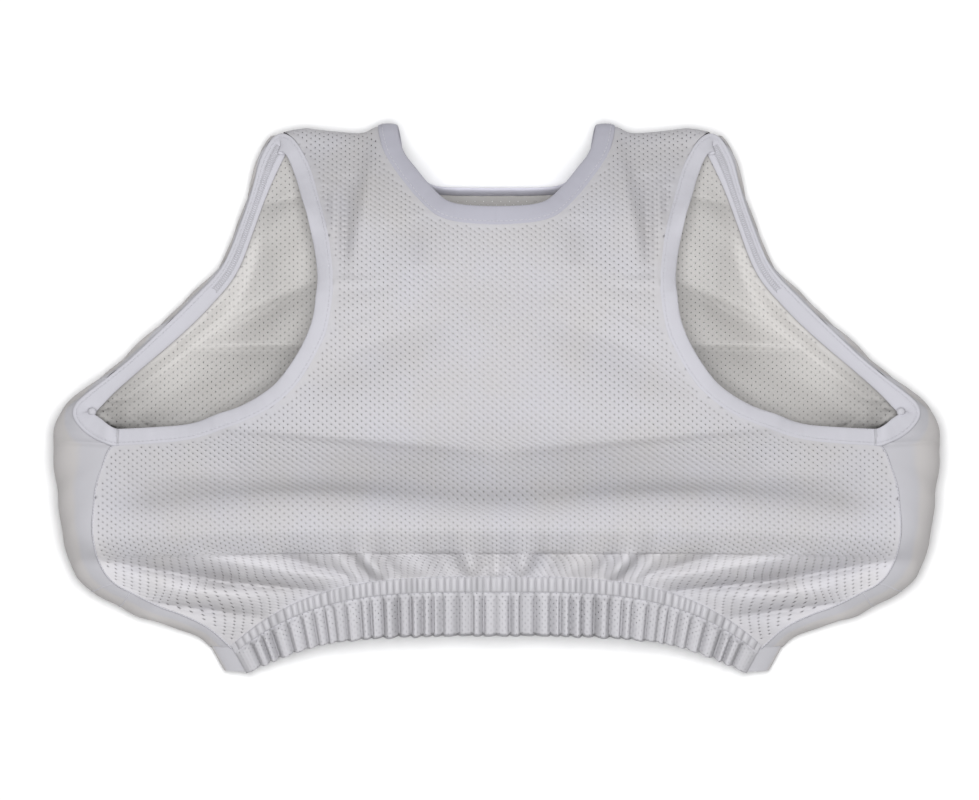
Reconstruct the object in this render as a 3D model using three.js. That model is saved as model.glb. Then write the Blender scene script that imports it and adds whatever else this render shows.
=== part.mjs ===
// Karate chest protector: a sleeveless vest of mesh cloth that lies on its back, front up.
// Millimetres, +Z up. X runs across the chest, to the wearer's left. Y runs from waist to neck.
// The floor is z = 0 and the origin is under the middle of the vest.
// Every piece is a thin sheet: a grid of points on its outer face, thickened inward.
import * as THREE from "three";
import { mergeVertices } from "three/addons/utils/BufferGeometryUtils.js";

// Driving sizes
const CLOTH = 1.5; // mesh and side cloth, thick
const BINDING = 2.2; // folded binding, thick
const BINDING_WIDTH = 9.4; // armhole binding, seam to free edge
const NECK_WIDTH = 10.6; // neck binding, seam to free edge
const SEAM_GAP = 0.4; // between two pieces that meet at a seam
const CASING = 2.4; // waistband cloth and elastic, thick
const CASING_GAP = 0.9; // between the panels and the ruffle, whose gathers weave past their edge
const CASING_HEIGHT = 31; // waistband at the middle, top of the ruffle to the hem
const CASING_TAPER = 14.3; // the height lost to the roll of the band at its corners
const CASING_LEAN = 29; // degrees that the band leans inward at its corners
const PLEATS = 44; // gathers along the front of the waistband
const PLEAT_RISE = 1.1; // half the depth of a gather
const FROWN = 3.5; // power of the bow of each row from the middle to the side
const HALF_COLUMNS = 8; // grid columns in half the front
const BACK_COLUMNS = 6; // grid columns in half the back
const STEPS = 2; // grid rows between two sections of the front
const WRAP = 4; // grid steps in each quarter of the side fold
const SIDE_TURN = 90; // degrees that the side fold turns up to the side seam
const ARMHOLE_TURN = 48; // degrees that it turns up to the armhole binding
const BINDING_LIFT = 0.5; // the armhole binding rides this far above the edge that it trims
const NECK_LIFT = 6.4; // how far the neck binding stands clear of the shoulder fold
const FOLD_TAPER = 0.7; // power of the fade of a long fold towards its ends
const LEAN_POWER = 3; // power of the lean of the waistband towards its corners
const BACK_SHORTEN = 2; // how much shorter the waistband is behind
const HALVINGS = 40; // steps of the search for a section row
const WELD = 1e-4; // points closer than this are one point

// Sections of the front, from the waistband up over the shoulder to the seam behind it.
// mid is the middle line, side is where the section is half wide, crown is the power of its fall.
const FRONT_SECTIONS = [
  { name: "band_top", midY: -101.2, sideY: -141.0, midZ: 30, sideZ: 12, half: 151, crown: 3.0 },
  { name: "flare", midY: -93.5, sideY: -119.0, midZ: 33, sideZ: 21, half: 188, crown: 3.0 },
  { name: "ledge_foot", midY: -84.5, sideY: -94.0, midZ: 36, sideZ: 28, half: 224, crown: 3.0 },
  { name: "ledge_lip", midY: -86.8, sideY: -88.5, midZ: 46, sideZ: 32, half: 226, crown: 2.6 },
  { name: "roll", midY: -73.0, sideY: -77.0, midZ: 58, sideZ: 38, half: 228, crown: 2.4 },
  { name: "crease", midY: -54.5, sideY: -59.0, midZ: 52, sideZ: 41, half: 228, crown: 2.4 },
  { name: "under_bust", midY: -38.0, sideY: -38.0, midZ: 67, sideZ: 42, half: 223, crown: 2.4 },
  { name: "underarm", midY: -22.0, sideY: -22.0, midZ: 76, sideZ: 43, half: 217, crown: 2.4 },
  { name: "bust", midY: 0.0, sideY: 0.0, midZ: 82, sideZ: 43, half: 217, crown: 2.4 },
  { name: "chest", midY: 40.0, sideY: 40.0, midZ: 79, sideZ: 42, half: 217, crown: 2.4 },
  { name: "upper_chest", midY: 75.0, sideY: 75.0, midZ: 71, sideZ: 38, half: 214, crown: 2.3 },
  { name: "neck_base", midY: 99.0, sideY: 99.0, midZ: 61, sideZ: 32, half: 200, crown: 2.2 },
  { name: "strap", midY: 127.0, sideY: 127.0, midZ: 50, sideZ: 24, half: 180, crown: 2.0 },
  { name: "shoulder", midY: 144.0, sideY: 146.5, midZ: 36, sideZ: 27, half: 115, crown: 2.0 },
  { name: "fold", midY: 150.0, sideY: 154.6, midZ: 18, sideZ: 16, half: 108, crown: 2.0 },
  { name: "behind", midY: 146.0, sideY: 148.0, midZ: 4.0, sideZ: 3.6, half: 115, crown: 2.0 },
  { name: "shoulder_seam", midY: 134.0, sideY: 134.0, midZ: 0, sideZ: 0, half: 120, crown: 2.0 },
];
const UNDERARM_Y = -26; // the top of the side seam
const FOLD_ROW = FRONT_SECTIONS.findIndex((row) => row.name === "fold");
const LAST_ROW = FRONT_SECTIONS.length - 1;
const SHOULDER_TOP_Y = 145; // above it the grid rows follow FOLD_STEPS
const FOLD_STEPS = [0.35, 0.7, 1, 1.35, 1.7, 2, 2.5, 3]; // section rows past the one before the fold
const BAND_PAST_FOLD = 0.4; // section rows that the front armhole binding runs on behind the fold
const CORNER_CLEAR = 0.2; // section rows left free below the top of the side seam

// The outer edge of the front: the side seam, then the seam of the armhole binding.
const FRONT_EDGE = [
  { y: -141.0, x: 151.0 }, { y: -132.0, x: 163.5 }, { y: -122.0, x: 181.5 }, { y: -114.6, x: 197.5 },
  { y: -109.4, x: 207.2 }, { y: -104.9, x: 215.7 }, { y: -97.5, x: 222.6 }, { y: -86.6, x: 227.1 },
  { y: -71.8, x: 229.0 }, { y: -53.0, x: 227.7 }, { y: -36.0, x: 222.6 }, { y: UNDERARM_Y, x: 217.6 },
  { y: -25.0, x: 200.0 }, { y: -22.6, x: 175.0 }, { y: -17.0, x: 156.0 }, { y: -8.4, x: 134.5 },
  { y: 1.1, x: 120.3 }, { y: 9.7, x: 112.0 }, { y: 22.8, x: 103.6 }, { y: 42.8, x: 94.9 },
  { y: 65.0, x: 92.3 }, { y: 90.6, x: 94.7 }, { y: 118.0, x: 101.7 }, { y: 134.0, x: 106.5 },
  { y: 145.4, x: 111.4 }, { y: 154.6, x: 115.0 },
];
const EDGE_SPREAD = 3.5; // how far the strap widens from the fold to the seam behind it

// The neck edge of the front, from the middle out to the shoulder.
const FRONT_NECK = [
  { y: 99.0, x: 0.0 }, { y: 99.8, x: 14.8 }, { y: 101.4, x: 26.0 }, { y: 104.9, x: 34.7 },
  { y: 109.5, x: 40.0 }, { y: 114.2, x: 44.5 }, { y: 119.9, x: 49.5 }, { y: 127.7, x: 55.3 },
  { y: 134.5, x: 60.4 }, { y: 140.8, x: 64.0 }, { y: 149.0, x: 67.0 },
];
const NECK_CLOSE = 4.0; // how far the neck edge comes in from the fold to the seam behind it

// Long folds of the front, mirrored: a ridge, or a groove where height is negative.
const FRONT_FOLDS = [
  { name: "strap_ridge", fromX: 69, fromY: 139, toX: 82, toY: 55, width: 8, height: 2.4 },
  { name: "strap_groove", fromX: 84, fromY: 128, toX: 92, toY: 40, width: 7, height: -2.0 },
  { name: "chest_dimple", fromX: 36, fromY: 92, toX: 46, toY: 70, width: 9, height: -1.6 },
  { name: "bust_groove", fromX: 40, fromY: -27, toX: 140, toY: -24, width: 9, height: -1.8 },
  { name: "waist_ridge", fromX: 82, fromY: -104, toX: 168, toY: -90, width: 5, height: 4.0 },
  { name: "waist_groove", fromX: 88, fromY: -108, toX: 188, toY: -101, width: 4.5, height: -3.4 },
  { name: "corner_ridge", fromX: 104, fromY: -111, toX: 196, toY: -107, width: 4, height: 2.6 },
  { name: "corner_groove", fromX: 126, fromY: -124, toX: 168, toY: -117, width: 5, height: -2.6 },
];

// Stations of the side, from the waistband corner past the underarm and up the back of the armhole.
// seam is the upper edge, out is the turn of the fold and back is the seam near the floor.
// free is the free edge of the binding. The binding alone starts at UNDERARM_START.
const SIDE_STATIONS = [
  { seamY: -141.0, outX: 163.0, outY: -140.4, outZ: 6.5, backX: 152.0, backY: -140.0 },
  { seamY: -132.0, outX: 169.0, outY: -135.2, outZ: 8.0, backX: 164.0, backY: -131.5 },
  { seamY: -122.0, outX: 186.0, outY: -128.6, outZ: 10.0, backX: 182.5, backY: -121.5 },
  { seamY: -114.6, outX: 203.5, outY: -123.4, outZ: 12.0, backX: 198.0, backY: -114.0 },
  { seamY: -109.4, outX: 215.0, outY: -117.0, outZ: 14.0, backX: 207.5, backY: -109.0 },
  { seamY: -104.9, outX: 228.0, outY: -110.4, outZ: 15.5, backX: 216.0, backY: -104.0 },
  { seamY: -97.5, outX: 239.0, outY: -100.0, outZ: 17.0, backX: 224.0, backY: -96.0 },
  { seamY: -86.6, outX: 244.6, outY: -86.0, outZ: 18.5, backX: 228.0, backY: -86.0 },
  { seamY: -71.8, outX: 247.2, outY: -71.0, outZ: 20.0, backX: 231.0, backY: -71.0 },
  { seamY: -53.0, outX: 249.6, outY: -53.0, outZ: 20.5, backX: 233.0, backY: -53.0 },
  { seamY: -36.0, outX: 251.3, outY: -36.0, outZ: 20.5, backX: 235.0, backY: -36.0 },
  { seamY: UNDERARM_Y, outX: 251.7, outY: -25.0, outZ: 20.5, backX: 236.0, backY: -26.0 },
];
const UNDERARM_START = { seamX: 218.8, seamY: -25.2, seamZ: 43, freeX: 218.6, freeY: -15.6, freeZ: 43.4 };
const ARMHOLE_STATIONS = [
  {
    seamX: 229.0, seamY: -20.7, seamZ: 39, outX: 251.6, outY: -18.5, outZ: 20.0,
    backX: 236, backY: -20, freeX: 222.0, freeY: -11.8, freeZ: 40,
  },
  {
    seamX: 237.5, seamY: -13.1, seamZ: 36, outX: 250.2, outY: -12.0, outZ: 19.5,
    backX: 234.5, backY: -14.5, freeX: 227.8, freeY: -9.4, freeZ: 37,
  },
  {
    seamX: 240.2, seamY: -7.4, seamZ: 34, outX: 246.8, outY: -4.8, outZ: 19.0,
    backX: 232, backY: -10, freeX: 229.2, freeY: -6.4, freeZ: 34,
  },
  {
    seamX: 238.6, seamY: -2.7, seamZ: 32.5, outX: 241.6, outY: -0.1, outZ: 18.5,
    backX: 228, backY: -6, freeX: 227.4, freeY: -3.2, freeZ: 32,
  },
  {
    seamX: 233.2, seamY: 2.5, seamZ: 31, outX: 235.4, outY: 4.6, outZ: 18.0,
    backX: 222.5, backY: -1, freeX: 222.4, freeY: 0.8, freeZ: 30,
  },
  {
    seamX: 220.5, seamY: 12.5, seamZ: 28, outX: 222.7, outY: 14.9, outZ: 17.0,
    backX: 211, backY: 8, freeX: 212.8, freeY: 8.6, freeZ: 27,
  },
  {
    seamX: 208.0, seamY: 22.8, seamZ: 26, outX: 210.3, outY: 25.3, outZ: 16.0,
    backX: 199.5, backY: 17.5, freeX: 201.2, freeY: 18.4, freeZ: 24.5,
  },
  {
    seamX: 191.8, seamY: 38.0, seamZ: 23, outX: 194.0, outY: 40.5, outZ: 14.5,
    backX: 184, backY: 31.5, freeX: 185.6, freeY: 31.2, freeZ: 21.5,
  },
  {
    seamX: 171.4, seamY: 58.0, seamZ: 20, outX: 173.4, outY: 60.0, outZ: 12.5,
    backX: 164, backY: 51, freeX: 165.2, freeY: 50.6, freeZ: 18.5,
  },
  {
    seamX: 155.5, seamY: 75.8, seamZ: 17.5, outX: 157.2, outY: 76.6, outZ: 11.0,
    backX: 147, backY: 72, freeX: 147.4, freeY: 72.4, freeZ: 16.5,
  },
  {
    seamX: 144.4, seamY: 102.0, seamZ: 16.5, outX: 146.3, outY: 102.6, outZ: 10.5,
    backX: 136.5, backY: 100, freeX: 136.6, freeY: 100.4, freeZ: 16,
  },
  {
    seamX: 138.6, seamY: 119.2, seamZ: 16.5, outX: 140.5, outY: 119.7, outZ: 10.5,
    backX: 130.5, backY: 117, freeX: 130.4, freeY: 117.0, freeZ: 16.5,
  },
  {
    seamX: 134.0, seamY: 136.0, seamZ: 17, outX: 136.0, outY: 136.8, outZ: 11.0,
    backX: 126, backY: 131, freeX: 123.8, freeY: 131.4, freeZ: 17.5,
  },
  {
    seamX: 129.6, seamY: 145.0, seamZ: 17.5, outX: 131.4, outY: 146.2, outZ: 11.5,
    backX: 124, backY: 138.5, freeX: 121.4, freeY: 137.0, freeZ: 18.5,
  },
  {
    seamX: 126.8, seamY: 148.8, seamZ: 18, outX: 128.4, outY: 150.2, outZ: 12.0,
    backX: 122.4, backY: 143.0, freeX: 120.6, freeY: 140.0, freeZ: 19.5,
  },
];

// The neck edge of the back, from the middle out to the shoulder seam, and how far its binding stands up.
const BACK_NECK = [
  { y: 112.5, x: 0.0 }, { y: 112.8, x: 22.0 }, { y: 114.0, x: 36.0 }, { y: 118.0, x: 45.5 },
  { y: 124.0, x: 52.0 }, { y: 129.5, x: 58.0 }, { y: 134.0, x: 63.0 },
];
const NECK_STAND = 62; // degrees at the middle of the back
const BACK_HEM = -140; // the lower corners of the back
const BACK_INSET = 1.2; // between the back and the side cloth that turns under to meet it
const BACK_BOW = 35; // how far the middle of the back hem lies above its corners
const SHOULDER_SEAM_Y = 134;

const COLOURS = { mesh: 0xd9d8dc, smooth: 0xd2cfd2, binding: 0xdddce3, waistband: 0xd6d4d8 };

// A smooth value through table rows: a cubic between rows that never runs past them.
function through(rows, key) {
  const keys = rows.map((row) => row[key]);
  return (column, where) => {
    const last = keys.length - 1;
    const at = Math.min(Math.max(where, keys[0]), keys[last]);
    let k = 0;
    while (k < last - 1 && at > keys[k + 1]) k += 1;
    const step = (i) => keys[i + 1] - keys[i];
    const slope = (i) => (rows[i + 1][column] - rows[i][column]) / step(i);
    const tangent = (i) => {
      if (i === 0) return slope(0);
      if (i === last) return slope(last - 1);
      const before = slope(i - 1);
      const after = slope(i);
      if (before * after <= 0) return 0;
      return (2 * before * after) / (before + after);
    };
    const t = (at - keys[k]) / step(k);
    const rise = t * t * (3 - 2 * t);
    const leave = tangent(k) * step(k) * t * (1 - t) * (1 - t);
    const arrive = tangent(k + 1) * step(k) * t * t * (1 - t);
    return rows[k][column] * (1 - rise) + rows[k + 1][column] * rise + leave - arrive;
  };
}

const numbered = (rows) => rows.map((row, index) => ({ ...row, index }));
const section = through(numbered(FRONT_SECTIONS), "index");
const frontEdgeAt = through(FRONT_EDGE, "y");
const frontNeckAt = through(FRONT_NECK, "y");
const backNeckAt = through(BACK_NECK, "y");
const sideAt = through(SIDE_STATIONS, "seamY");
const backEdgeAt = through(
  [...SIDE_STATIONS, ...ARMHOLE_STATIONS].map((row) => ({ y: row.backY, x: row.backX })),
  "y",
);

// The height that the long folds add at a point of the front.
function foldHeight(x, y) {
  let height = 0;
  for (const fold of FRONT_FOLDS) {
    const runX = fold.toX - fold.fromX;
    const runY = fold.toY - fold.fromY;
    const along = ((Math.abs(x) - fold.fromX) * runX + (y - fold.fromY) * runY) / (runX * runX + runY * runY);
    const t = Math.min(Math.max(along, 0), 1);
    const away = Math.hypot(Math.abs(x) - fold.fromX - t * runX, y - fold.fromY - t * runY);
    height += fold.height * Math.sin(Math.PI * t) ** FOLD_TAPER * Math.exp(-((away / fold.width) ** 2));
  }
  return height;
}

// A point of the front at distance x from the middle line, on section row v.
function frontPoint(x, v) {
  const share = Math.min(Math.abs(x) / section("half", v), 1);
  const midY = section("midY", v);
  const midZ = section("midZ", v);
  const y = midY + (section("sideY", v) - midY) * share ** FROWN;
  const z = midZ + (section("sideZ", v) - midZ) * share ** section("crown", v);
  const folds = v < FOLD_ROW ? foldHeight(x, y) : 0;
  return new THREE.Vector3(x, y, z + folds);
}

// The section row whose middle line is at height y, above the crease.
function rowAt(y) {
  let low = FRONT_SECTIONS.findIndex((row) => row.name === "crease");
  let high = FOLD_ROW;
  for (let k = 0; k < HALVINGS; k += 1) {
    const middle = (low + high) / 2;
    if (section("midY", middle) < y) low = middle;
    else high = middle;
  }
  return (low + high) / 2;
}

function frontOuter(v) {
  if (v > FOLD_ROW) return FRONT_EDGE.at(-1).x + (EDGE_SPREAD * (v - FOLD_ROW)) / (LAST_ROW - FOLD_ROW);
  return frontEdgeAt("x", section("sideY", v));
}

function frontInner(v) {
  if (v > FOLD_ROW) return FRONT_NECK.at(-1).x - (NECK_CLOSE * (v - FOLD_ROW)) / (LAST_ROW - FOLD_ROW);
  return section("midY", v) <= FRONT_NECK[0].y ? 0 : frontNeckAt("x", section("midY", v));
}

// Section rows of the front grid: the lower sections evenly, the upper ones at each row of the edge tables.
function frontRows() {
  const rows = [];
  const corner = rowAt(UNDERARM_Y);
  for (let k = 0; k / STEPS < corner - CORNER_CLEAR; k += 1) rows.push(k / STEPS);
  const heights = new Set([...FRONT_EDGE, ...FRONT_NECK].map((row) => row.y));
  const upper = [...heights].filter((y) => y >= UNDERARM_Y && y < SHOULDER_TOP_Y).sort((a, b) => a - b);
  rows.push(...upper.map(rowAt));
  for (const step of FOLD_STEPS) rows.push(FOLD_ROW - 1 + step);
  return rows;
}

// Section rows of the front from the waistband to the top of the side seam.
function lowerRows() {
  return frontRows().filter((v) => v <= rowAt(UNDERARM_Y) + WELD);
}

// The outward normal at each point of a grid, from its neighbours along and across.
function normalsOf(grid, closed) {
  const rows = grid.length;
  return grid.map((row, r) =>
    row.map((point, c) => {
      const up = grid[closed ? (r + 1) % rows : Math.min(r + 1, rows - 1)][c];
      const down = grid[closed ? (r + rows - 1) % rows : Math.max(r - 1, 0)][c];
      const right = row[Math.min(c + 1, row.length - 1)];
      const left = row[Math.max(c - 1, 0)];
      const across = new THREE.Vector3().subVectors(right, left);
      const normal = across.cross(new THREE.Vector3().subVectors(up, down));
      if (Math.abs(point.x) < WELD) normal.x = 0;
      return normal.normalize();
    }),
  );
}

// Triangles of a closed sheet: outer face, inner face and the walls round its edge.
// openBelow is the number of rows whose first column has no wall, where a mirrored half joins on.
function sheetTriangles(grid, thickness, { flip = false, closed = false, openBelow = 0 } = {}) {
  const sense = flip ? -1 : 1;
  const normals = normalsOf(grid, closed);
  const inner = grid.map((row, r) =>
    row.map((point, c) => point.clone().addScaledVector(normals[r][c], -thickness * sense)),
  );
  const triangles = [];
  const quad = (a, b, c, d) => {
    if (flip) triangles.push([a, c, b], [a, d, c]);
    else triangles.push([a, b, c], [a, c, d]);
  };
  const rows = grid.length;
  const columns = grid[0].length;
  const spans = closed ? rows : rows - 1;
  for (let r = 0; r < spans; r += 1) {
    const s = (r + 1) % rows;
    for (let c = 0; c + 1 < columns; c += 1) {
      quad(grid[r][c], grid[r][c + 1], grid[s][c + 1], grid[s][c]);
      quad(inner[r][c], inner[s][c], inner[s][c + 1], inner[r][c + 1]);
    }
    const e = columns - 1;
    if (r >= openBelow) quad(grid[r][0], grid[s][0], inner[s][0], inner[r][0]);
    quad(grid[s][e], grid[r][e], inner[r][e], inner[s][e]);
  }
  if (!closed) {
    const t = rows - 1;
    for (let c = 0; c + 1 < columns; c += 1) {
      quad(grid[0][c + 1], grid[0][c], inner[0][c], inner[0][c + 1]);
      quad(grid[t][c], grid[t][c + 1], inner[t][c + 1], inner[t][c]);
    }
  }
  return triangles;
}

const mirrorPoint = (p) => new THREE.Vector3(-p.x, p.y, p.z);
const mirrored = (triangles) => triangles.map(([a, b, c]) => [a, c, b].map(mirrorPoint));

function geometryOf(triangles) {
  const points = triangles.flat();
  const geometry = new THREE.BufferGeometry();
  const values = new Float32Array(points.flatMap((p) => [p.x, p.y, p.z]));
  geometry.setAttribute("position", new THREE.BufferAttribute(values, 3));
  const joined = mergeVertices(geometry, WELD);
  joined.computeVertexNormals();
  return joined;
}

function pieceMesh(name, colour, triangles) {
  const material = new THREE.MeshStandardMaterial({ color: COLOURS[colour], roughness: 0.9, metalness: 0 });
  const mesh = new THREE.Mesh(geometryOf(triangles), material);
  mesh.name = name;
  return mesh;
}

// A panel of two mirrored halves, which part at the neck.
function panelTriangles(half, thickness, neckRow, options) {
  const triangles = sheetTriangles(half, thickness, { ...options, openBelow: neckRow });
  return [...triangles, ...mirrored(triangles)];
}

function spread(from, to, count, place) {
  return Array.from({ length: count + 1 }, (_, k) => place(from + ((to - from) * k) / count));
}

function frontPanel() {
  const rows = frontRows();
  const neckRow = rows.findIndex((v) => frontInner(v) > 0) - 1;
  const grid = rows.map((v) => spread(frontInner(v), frontOuter(v), HALF_COLUMNS, (x) => frontPoint(x, v)));
  return pieceMesh("front_panel", "mesh", panelTriangles(grid, CLOTH, neckRow));
}

// The hem line of the back at distance x from the middle.
function backHem(x) {
  return BACK_HEM + BACK_BOW * (1 - Math.min(Math.abs(x) / SIDE_STATIONS[0].backX, 1) ** FROWN);
}

// The heights of the back grid rows: where the side panel meets it, then the rows of the neck table.
function backRows() {
  const sideRows = lowerRows().map((v) => sideAt("backY", frontPoint(frontOuter(v), v).y));
  const armRows = ARMHOLE_STATIONS.map((row) => row.backY);
  const neckRows = BACK_NECK.map((row) => row.y);
  const top = SHOULDER_SEAM_Y - SEAM_GAP;
  const heights = [...sideRows, ...armRows, ...neckRows].filter((y) => y < top);
  return [...new Set([...heights, top])].sort((a, b) => a - b);
}

function backPanel() {
  const rows = backRows();
  const neckRow = rows.findIndex((y) => y >= BACK_NECK[0].y);
  const grid = rows.map((y) => {
    const from = y <= BACK_NECK[0].y ? 0 : backNeckAt("x", y);
    const to = backEdgeAt("x", y) - BACK_INSET;
    const lift = Math.max(0, 1 - (y - BACK_HEM) / (2 * BACK_BOW));
    return spread(from, to, BACK_COLUMNS, (x) => {
      const bowed = y + (backHem(x) - BACK_HEM) * lift;
      return new THREE.Vector3(x, bowed, 0);
    });
  });
  return pieceMesh("back_panel", "mesh", panelTriangles(grid, CLOTH, neckRow, { flip: true }));
}

// A fold round the side: part of an ellipse from the seam out to the turn, then a quarter back under it.
function sideFold(seam, out, back, turn) {
  const end = THREE.MathUtils.degToRad(turn);
  const upper = spread(end, 0, WRAP, (a) => {
    const inward = (1 - Math.cos(a)) / (1 - Math.cos(end));
    return new THREE.Vector3(
      out.x + (seam.x - out.x) * inward,
      out.y + (seam.y - out.y) * inward,
      out.z + ((seam.z - out.z) * Math.sin(a)) / Math.sin(end),
    );
  });
  const lower = spread(0, Math.PI / 2, WRAP, (a) =>
    new THREE.Vector3(
      back.x + (out.x - back.x) * Math.cos(a),
      back.y + (out.y - back.y) * Math.cos(a),
      out.z + (back.z - out.z) * Math.sin(a),
    ),
  );
  return [...upper, ...lower.slice(1)];
}

const seamPoint = (row) => new THREE.Vector3(row.seamX, row.seamY, row.seamZ);
const outPoint = (row) => new THREE.Vector3(row.outX, row.outY, row.outZ);
const backPoint = (row) => new THREE.Vector3(row.backX, row.backY, 0);
const freePoint = (row) => new THREE.Vector3(row.freeX, row.freeY, row.freeZ);

// One row of the side panel: it leaves the outer edge of the front a gap away and folds under.
function sideRow(v) {
  const seam = frontPoint(frontOuter(v), v);
  const out = new THREE.Vector3(...["outX", "outY", "outZ"].map((column) => sideAt(column, seam.y)));
  const back = new THREE.Vector3(sideAt("backX", seam.y), sideAt("backY", seam.y), 0);
  const outward = out.clone().sub(seam).setZ(0).normalize();
  return sideFold(seam.addScaledVector(outward, 2 * SEAM_GAP), out, back, SIDE_TURN);
}

function sidePanel(side) {
  const lower = lowerRows().map(sideRow);
  const upper = ARMHOLE_STATIONS.map((row) =>
    sideFold(seamPoint(row), outPoint(row), backPoint(row), ARMHOLE_TURN),
  );
  const triangles = sheetTriangles([...lower, ...upper], CLOTH);
  return sidePiece(`side_panel_${side.name}`, "smooth", triangles, side);
}

function sidePiece(name, colour, triangles, side) {
  return pieceMesh(name, colour, side.mirror ? mirrored(triangles) : triangles);
}

// A strip along a path: from each point a gap and then the width, along its own direction.
function stripGrid(path, directions, width, gap) {
  return path.map((point, k) =>
    [gap, gap + width / 2, gap + width].map((reach) => point.clone().addScaledVector(directions[k], reach)),
  );
}

// The outward normal of the front at distance x from the middle line, on section row v.
function frontNormal(x, v) {
  const nudge = 0.2;
  const across = frontPoint(x + nudge, v).sub(frontPoint(x - nudge, v));
  const upper = frontPoint(x, Math.min(v + nudge, LAST_ROW));
  return across.cross(upper.sub(frontPoint(x, Math.max(v - nudge, 0)))).normalize();
}

// Directions that leave the edge of the front at right angles to it, in its surface.
function edgeDirections(path, rows, outward) {
  return path.map((point, k) => {
    const along = path[Math.min(k + 1, path.length - 1)].clone().sub(path[Math.max(k - 1, 0)]);
    return along.cross(frontNormal(point.x, rows[k])).multiplyScalar(outward).normalize();
  });
}

function armholeFront(side) {
  const rows = frontRows().filter((v) => v >= rowAt(UNDERARM_Y) - WELD && v <= FOLD_ROW + BAND_PAST_FOLD);
  const path = rows.map((v) => frontPoint(frontOuter(v), v));
  const grid = stripGrid(path, edgeDirections(path, rows, 1), BINDING_WIDTH, SEAM_GAP);
  const name = `armhole_band_front_${side.name}`;
  return sidePiece(name, "binding", sheetTriangles(grid, BINDING), side);
}

function armholeBack(side) {
  const grid = [UNDERARM_START, ...ARMHOLE_STATIONS].map((row) => {
    const seam = seamPoint(row).setZ(row.seamZ + BINDING_LIFT);
    const across = freePoint(row).sub(seam);
    const gap = SEAM_GAP / across.length();
    return [gap, 0.5, 1].map((share) => seam.clone().addScaledVector(across, share));
  });
  const name = `armhole_band_back_${side.name}`;
  return sidePiece(name, "binding", sheetTriangles(grid, BINDING), side);
}

// The neck binding: half a ring from the middle of the front over the shoulder to the middle of the back.
function neckBand() {
  const rows = frontRows().filter((v) => frontInner(v) > 0);
  const base = rowAt(FRONT_NECK[0].y);
  const neckRows = [base, ...rows];
  const edge = neckRows.map((v) => frontPoint(frontInner(v), v));
  const frontWay = edgeDirections(edge, neckRows, -1);
  const frontPath = edge.map((point, k) => {
    const rise = NECK_LIFT * Math.exp(-((neckRows[k] - FOLD_ROW) ** 2));
    const raised = point.clone().addScaledVector(frontNormal(point.x, neckRows[k]), rise);
    return raised.setZ(Math.max(raised.z, SEAM_GAP));
  });
  frontWay[0].set(0, frontWay[1].y, frontWay[1].z).normalize();
  const behind = [...BACK_NECK].reverse().slice(1);
  const backPath = [];
  const backWay = [];
  behind.forEach((row, k) => {
    const before = k > 0 ? behind[k - 1] : BACK_NECK[BACK_NECK.length - 1];
    const after = behind[Math.min(k + 1, behind.length - 1)];
    const flat = new THREE.Vector3(after.y - before.y, before.x - after.x, 0).normalize();
    if (row.x === 0) flat.set(0, 1, 0);
    const stand = THREE.MathUtils.degToRad((NECK_STAND * (k + 1)) / behind.length);
    const clear = BINDING * Math.sin(stand) + SEAM_GAP;
    backPath.push(new THREE.Vector3(row.x, row.y, SEAM_GAP).addScaledVector(flat, clear));
    backWay.push(flat.clone().multiplyScalar(Math.cos(stand)).setZ(Math.sin(stand)));
  });
  const half = stripGrid([...frontPath, ...backPath], [...frontWay, ...backWay], NECK_WIDTH, SEAM_GAP);
  const other = half.slice(1, -1).reverse().map((row) => row.map(mirrorPoint));
  const triangles = sheetTriangles([...half, ...other], BINDING, { flip: true, closed: true });
  return pieceMesh("neck_band", "binding", triangles);
}

// The waistband: rows from the hem up to the top of the ruffle, with gathers across it.
// pinch is how much of a gather each row keeps and drop is its share of the height.
const CASING_ROWS = [
  { drop: 1.0, pinch: 1.0, fall: 3.0 },
  { drop: 0.62, pinch: 1.0, fall: 1.0 },
  { drop: 0.3, pinch: 0.2, fall: 0.6 },
  { drop: 0.0, pinch: 0.9, fall: 0.0 },
];

function casingPoint(top, row, wave, shorten) {
  const share = Math.min(Math.abs(top.x) / FRONT_EDGE[0].x, 1);
  const lean = THREE.MathUtils.degToRad(CASING_LEAN * share ** LEAN_POWER) * Math.sign(top.x);
  const height = (CASING_HEIGHT - CASING_TAPER * share ** FROWN - shorten) * row.drop + CASING_GAP;
  return new THREE.Vector3(
    top.x - height * Math.sin(lean),
    top.y - height * Math.cos(lean),
    top.z - row.fall * (1 - share) + PLEAT_RISE * row.pinch * wave,
  );
}

function waistFront() {
  const reach = FRONT_EDGE[0].x - SEAM_GAP;
  const grid = CASING_ROWS.map((row) =>
    Array.from({ length: 2 * PLEATS + 1 }, (_, k) => {
      const top = frontPoint(-reach + (reach * k) / PLEATS, 0);
      return casingPoint(top, row, k % 2 === 0 ? -1 : 1, 0);
    }),
  );
  return pieceMesh("waistband_front", "waistband", sheetTriangles(grid, CASING));
}

function waistBack() {
  const reach = SIDE_STATIONS[0].backX - 2 * SEAM_GAP;
  const grid = CASING_ROWS.map((row) =>
    Array.from({ length: 2 * PLEATS + 1 }, (_, k) => {
      const x = -reach + (reach * k) / PLEATS;
      const top = new THREE.Vector3(x, backHem(x) - SEAM_GAP, PLEAT_RISE);
      return casingPoint(top, { ...row, fall: 0 }, k % 2 === 0 ? -1 : 1, BACK_SHORTEN);
    }),
  );
  return pieceMesh("waistband_back", "waistband", sheetTriangles(grid, CASING, { flip: true }));
}

// The smooth corner of the waistband: the fold of the side carried down to the hem.
const CORNER_ROWS = [1, 0.66, 0.33, 0]; // shares of the height, from the hem up

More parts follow.
